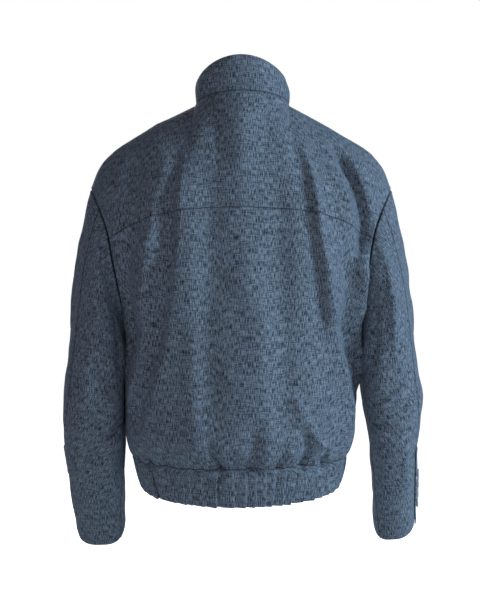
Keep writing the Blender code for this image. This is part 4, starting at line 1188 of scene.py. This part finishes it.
def button(name, centre, normal, upward):
    """A round button: rings of points whose height is a turned profile with a rim, less four bell-shaped
    holes."""
    sizes = bpy.context.scene.jacket_sizes
    radius, height = sizes.button_radius, sizes.button_height
    profile = np.array([(0, 0.60), (0.3, 0.60), (0.62, 0.66), (0.74, 0.92), (0.86, 1.0), (0.96, 0.86),
        (1.0, 0.55), (0.97, 0.2), (0.86, 0), (0.5, 0), (0, 0)])
    t = np.linspace(0, 1, 41)
    knots = np.linspace(0, 1, len(profile))
    r = np.interp(t, knots, profile[:, 0])
    h = np.interp(t, knots, profile[:, 1])
    turn = np.linspace(0, 2 * np.pi, 48, endpoint=False)
    rr, aa = np.meshgrid(r, turn, indexing="ij")
    x, y = rr * radius * np.cos(aa), rr * radius * np.sin(aa)
    z = np.repeat(h[:, None], len(turn), axis=1) * height
    spot = 0.24 * radius
    hole = np.zeros_like(x)
    for u in (-1, 1):
        for v in (-1, 1):
            hole = np.maximum(hole, np.exp(-(((x - u * spot) ** 2 + (y - v * spot) ** 2)
                / (0.13 * radius) ** 2) ** 2))
    hole = hole * (t < 0.5)[:, None]
    z = z - hole * 0.45 * height
    e3 = unit(np.asarray(normal))
    e2 = unit(np.asarray(upward) - e3 * np.dot(upward, e3))
    e1 = np.cross(e2, e3)
    points = centre + x[..., None] * e1 + y[..., None] * e2 + z[..., None] * e3
    ring = len(turn)
    inside = points[1:-1].reshape(-1, 3)
    ends = np.stack([points[0].mean(axis=0), points[-1].mean(axis=0)])
    at = np.arange(len(inside)).reshape(-1, ring)
    nxt = np.roll(at, -1, axis=1)
    quads = np.stack([at[:-1].ravel(), at[1:].ravel(), nxt[1:].ravel(), nxt[:-1].ravel()], axis=1)
    top, bottom = len(inside), len(inside) + 1
    cap = [[top, a, b] for a, b in zip(at[0], nxt[0])] + [[bottom, b, a] for a, b in zip(at[-1], nxt[-1])]
    mesh = bpy.data.meshes.new(name)
    mesh.from_pydata(np.concatenate([inside, ends]).tolist(), [],
        quads.tolist() + [[int(v) for v in f] for f in cap])
    attribute = mesh.attributes.new("hole", "FLOAT", "POINT")
    attribute.data.foreach_set("value", np.concatenate([hole[1:-1].ravel(), [0, 0]]).astype(np.float32))
    mesh.shade_smooth()
    mesh.materials.append(horn())
    piece = bpy.data.objects.new(name, mesh)
    bpy.context.scene.collection.objects.link(piece)
    return piece


class JACKET_OT_stage(bpy.types.Operator):
    """Makes the floor, the studio light and the camera"""

    bl_idname = "jacket.stage"
    bl_label = "Stage"

    def execute(self, context):
        scene = context.scene
        mesh = bpy.data.meshes.new("floor")
        size, level = 6.0, -0.86
        mesh.from_pydata([(-size, -size, level), (size, -size, level), (size, size, level),
            (-size, size, level)], [], [(0, 1, 2, 3)])
        floor = bpy.data.objects.new("floor", mesh)
        scene.collection.objects.link(floor)
        pale = bpy.data.materials.new("pale_floor")
        pale.use_nodes = True
        shader = pale.node_tree.nodes["Principled BSDF"]
        shader.inputs["Base Color"].default_value = (0.92, 0.92, 0.93, 1)
        shader.inputs["Roughness"].default_value = 0.9
        shader.inputs["Emission Color"].default_value = (1.0, 1.0, 1.0, 1)
        ray = node(pale.node_tree, "ShaderNodeLightPath").outputs["Is Camera Ray"]
        glow = math_node(pale.node_tree, "MULTIPLY", ray, 1.0)
        pale.node_tree.links.new(glow, shader.inputs["Emission Strength"])
        mesh.materials.append(pale)
        world = bpy.data.worlds.new("studio")
        scene.world = world
        world.use_nodes = True
        tree = world.node_tree
        background = tree.nodes["Background"]
        background.inputs["Color"].default_value = (0.86, 0.88, 1.0, 1)
        background.inputs["Strength"].default_value = 0.13
        backdrop = node(tree, "ShaderNodeBackground", {"Color": (1.0, 1.0, 1.0, 1), "Strength": 1.0})
        ray = node(tree, "ShaderNodeLightPath").outputs["Is Camera Ray"]
        seen = node(tree, "ShaderNodeMixShader", {0: ray})
        tree.links.new(background.outputs[0], seen.inputs[1])
        tree.links.new(backdrop.outputs[0], seen.inputs[2])
        tree.links.new(seen.outputs[0], tree.nodes["World Output"].inputs[0])
        Lamp = namedtuple("Lamp", "name place aim size power colour")
        lamps = (
            Lamp("key", (-2.5, 1.1, 0.8), (0, 0, -0.25), 0.6, 84, (0.68, 0.86, 1.0)),
            Lamp("fill", (0.6, 2.8, 0.3), (0, 0, -0.3), 1.2, 15, (1.0, 0.91, 0.90)),
            Lamp("front", (0.6, -2.4, 0.7), (0, 0, -0.3), 1.4, 22, (1.0, 0.98, 0.96)),
        )
        for lamp in lamps:
            light = bpy.data.lights.new(lamp.name, "AREA")
            light.size, light.energy, light.color = lamp.size, lamp.power, lamp.colour
            holder = bpy.data.objects.new(lamp.name, light)
            scene.collection.objects.link(holder)
            toward = unit(np.array(lamp.aim, float) - np.array(lamp.place, float))
            holder.location = lamp.place
            holder.rotation_euler = Vector(toward).to_track_quat("-Z", "Y").to_euler()
        lens = bpy.data.cameras.new("camera")
        lens.lens, lens.sensor_width, lens.sensor_fit = 88.0, 36.0, "AUTO"
        camera = bpy.data.objects.new("camera", lens)
        scene.collection.objects.link(camera)
        camera.location = (0.0045, 2.2, -0.300)
        camera.rotation_euler = (math.pi / 2, 0, math.pi)
        scene.camera = camera
        scene.view_settings.view_transform = "Standard"
        return {"FINISHED"}


STEPS = (
    JACKET_OT_back,
    JACKET_OT_yoke,
    JACKET_OT_fronts,
    JACKET_OT_placket,
    JACKET_OT_collar,
    JACKET_OT_hem_bands,
    JACKET_OT_sleeves,
    JACKET_OT_vents,
    JACKET_OT_buttons,
    JACKET_OT_stage,
)


class JACKET_PT_sidebar(bpy.types.Panel):
    """Lists the jacket's sizes, colours and steps"""

    bl_idname = "JACKET_PT_sidebar"
    bl_label = "Blouson Jacket"
    bl_space_type = "VIEW_3D"
    bl_region_type = "UI"
    bl_category = "Jacket"

    def draw(self, context):
        for settings in (context.scene.jacket_sizes, context.scene.jacket_colours):
            for key in settings.__annotations__:
                self.layout.prop(settings, key)
        for step in STEPS:
            self.layout.operator(step.bl_idname)


CLASSES = (JacketSizes, JacketColours, *STEPS, JACKET_PT_sidebar)


def register():
    for item in CLASSES:
        bpy.utils.register_class(item)
    bpy.types.Scene.jacket_sizes = PointerProperty(type=JacketSizes)
    bpy.types.Scene.jacket_colours = PointerProperty(type=JacketColours)


def unregister():
    del bpy.types.Scene.jacket_sizes
    del bpy.types.Scene.jacket_colours
    for item in reversed(CLASSES):
        bpy.utils.unregister_class(item)


def main():
    register()
    for step in STEPS:
        group, name = step.bl_idname.split(".")
        getattr(getattr(bpy.ops, group), name)()


if __name__ == "__main__":
    main()
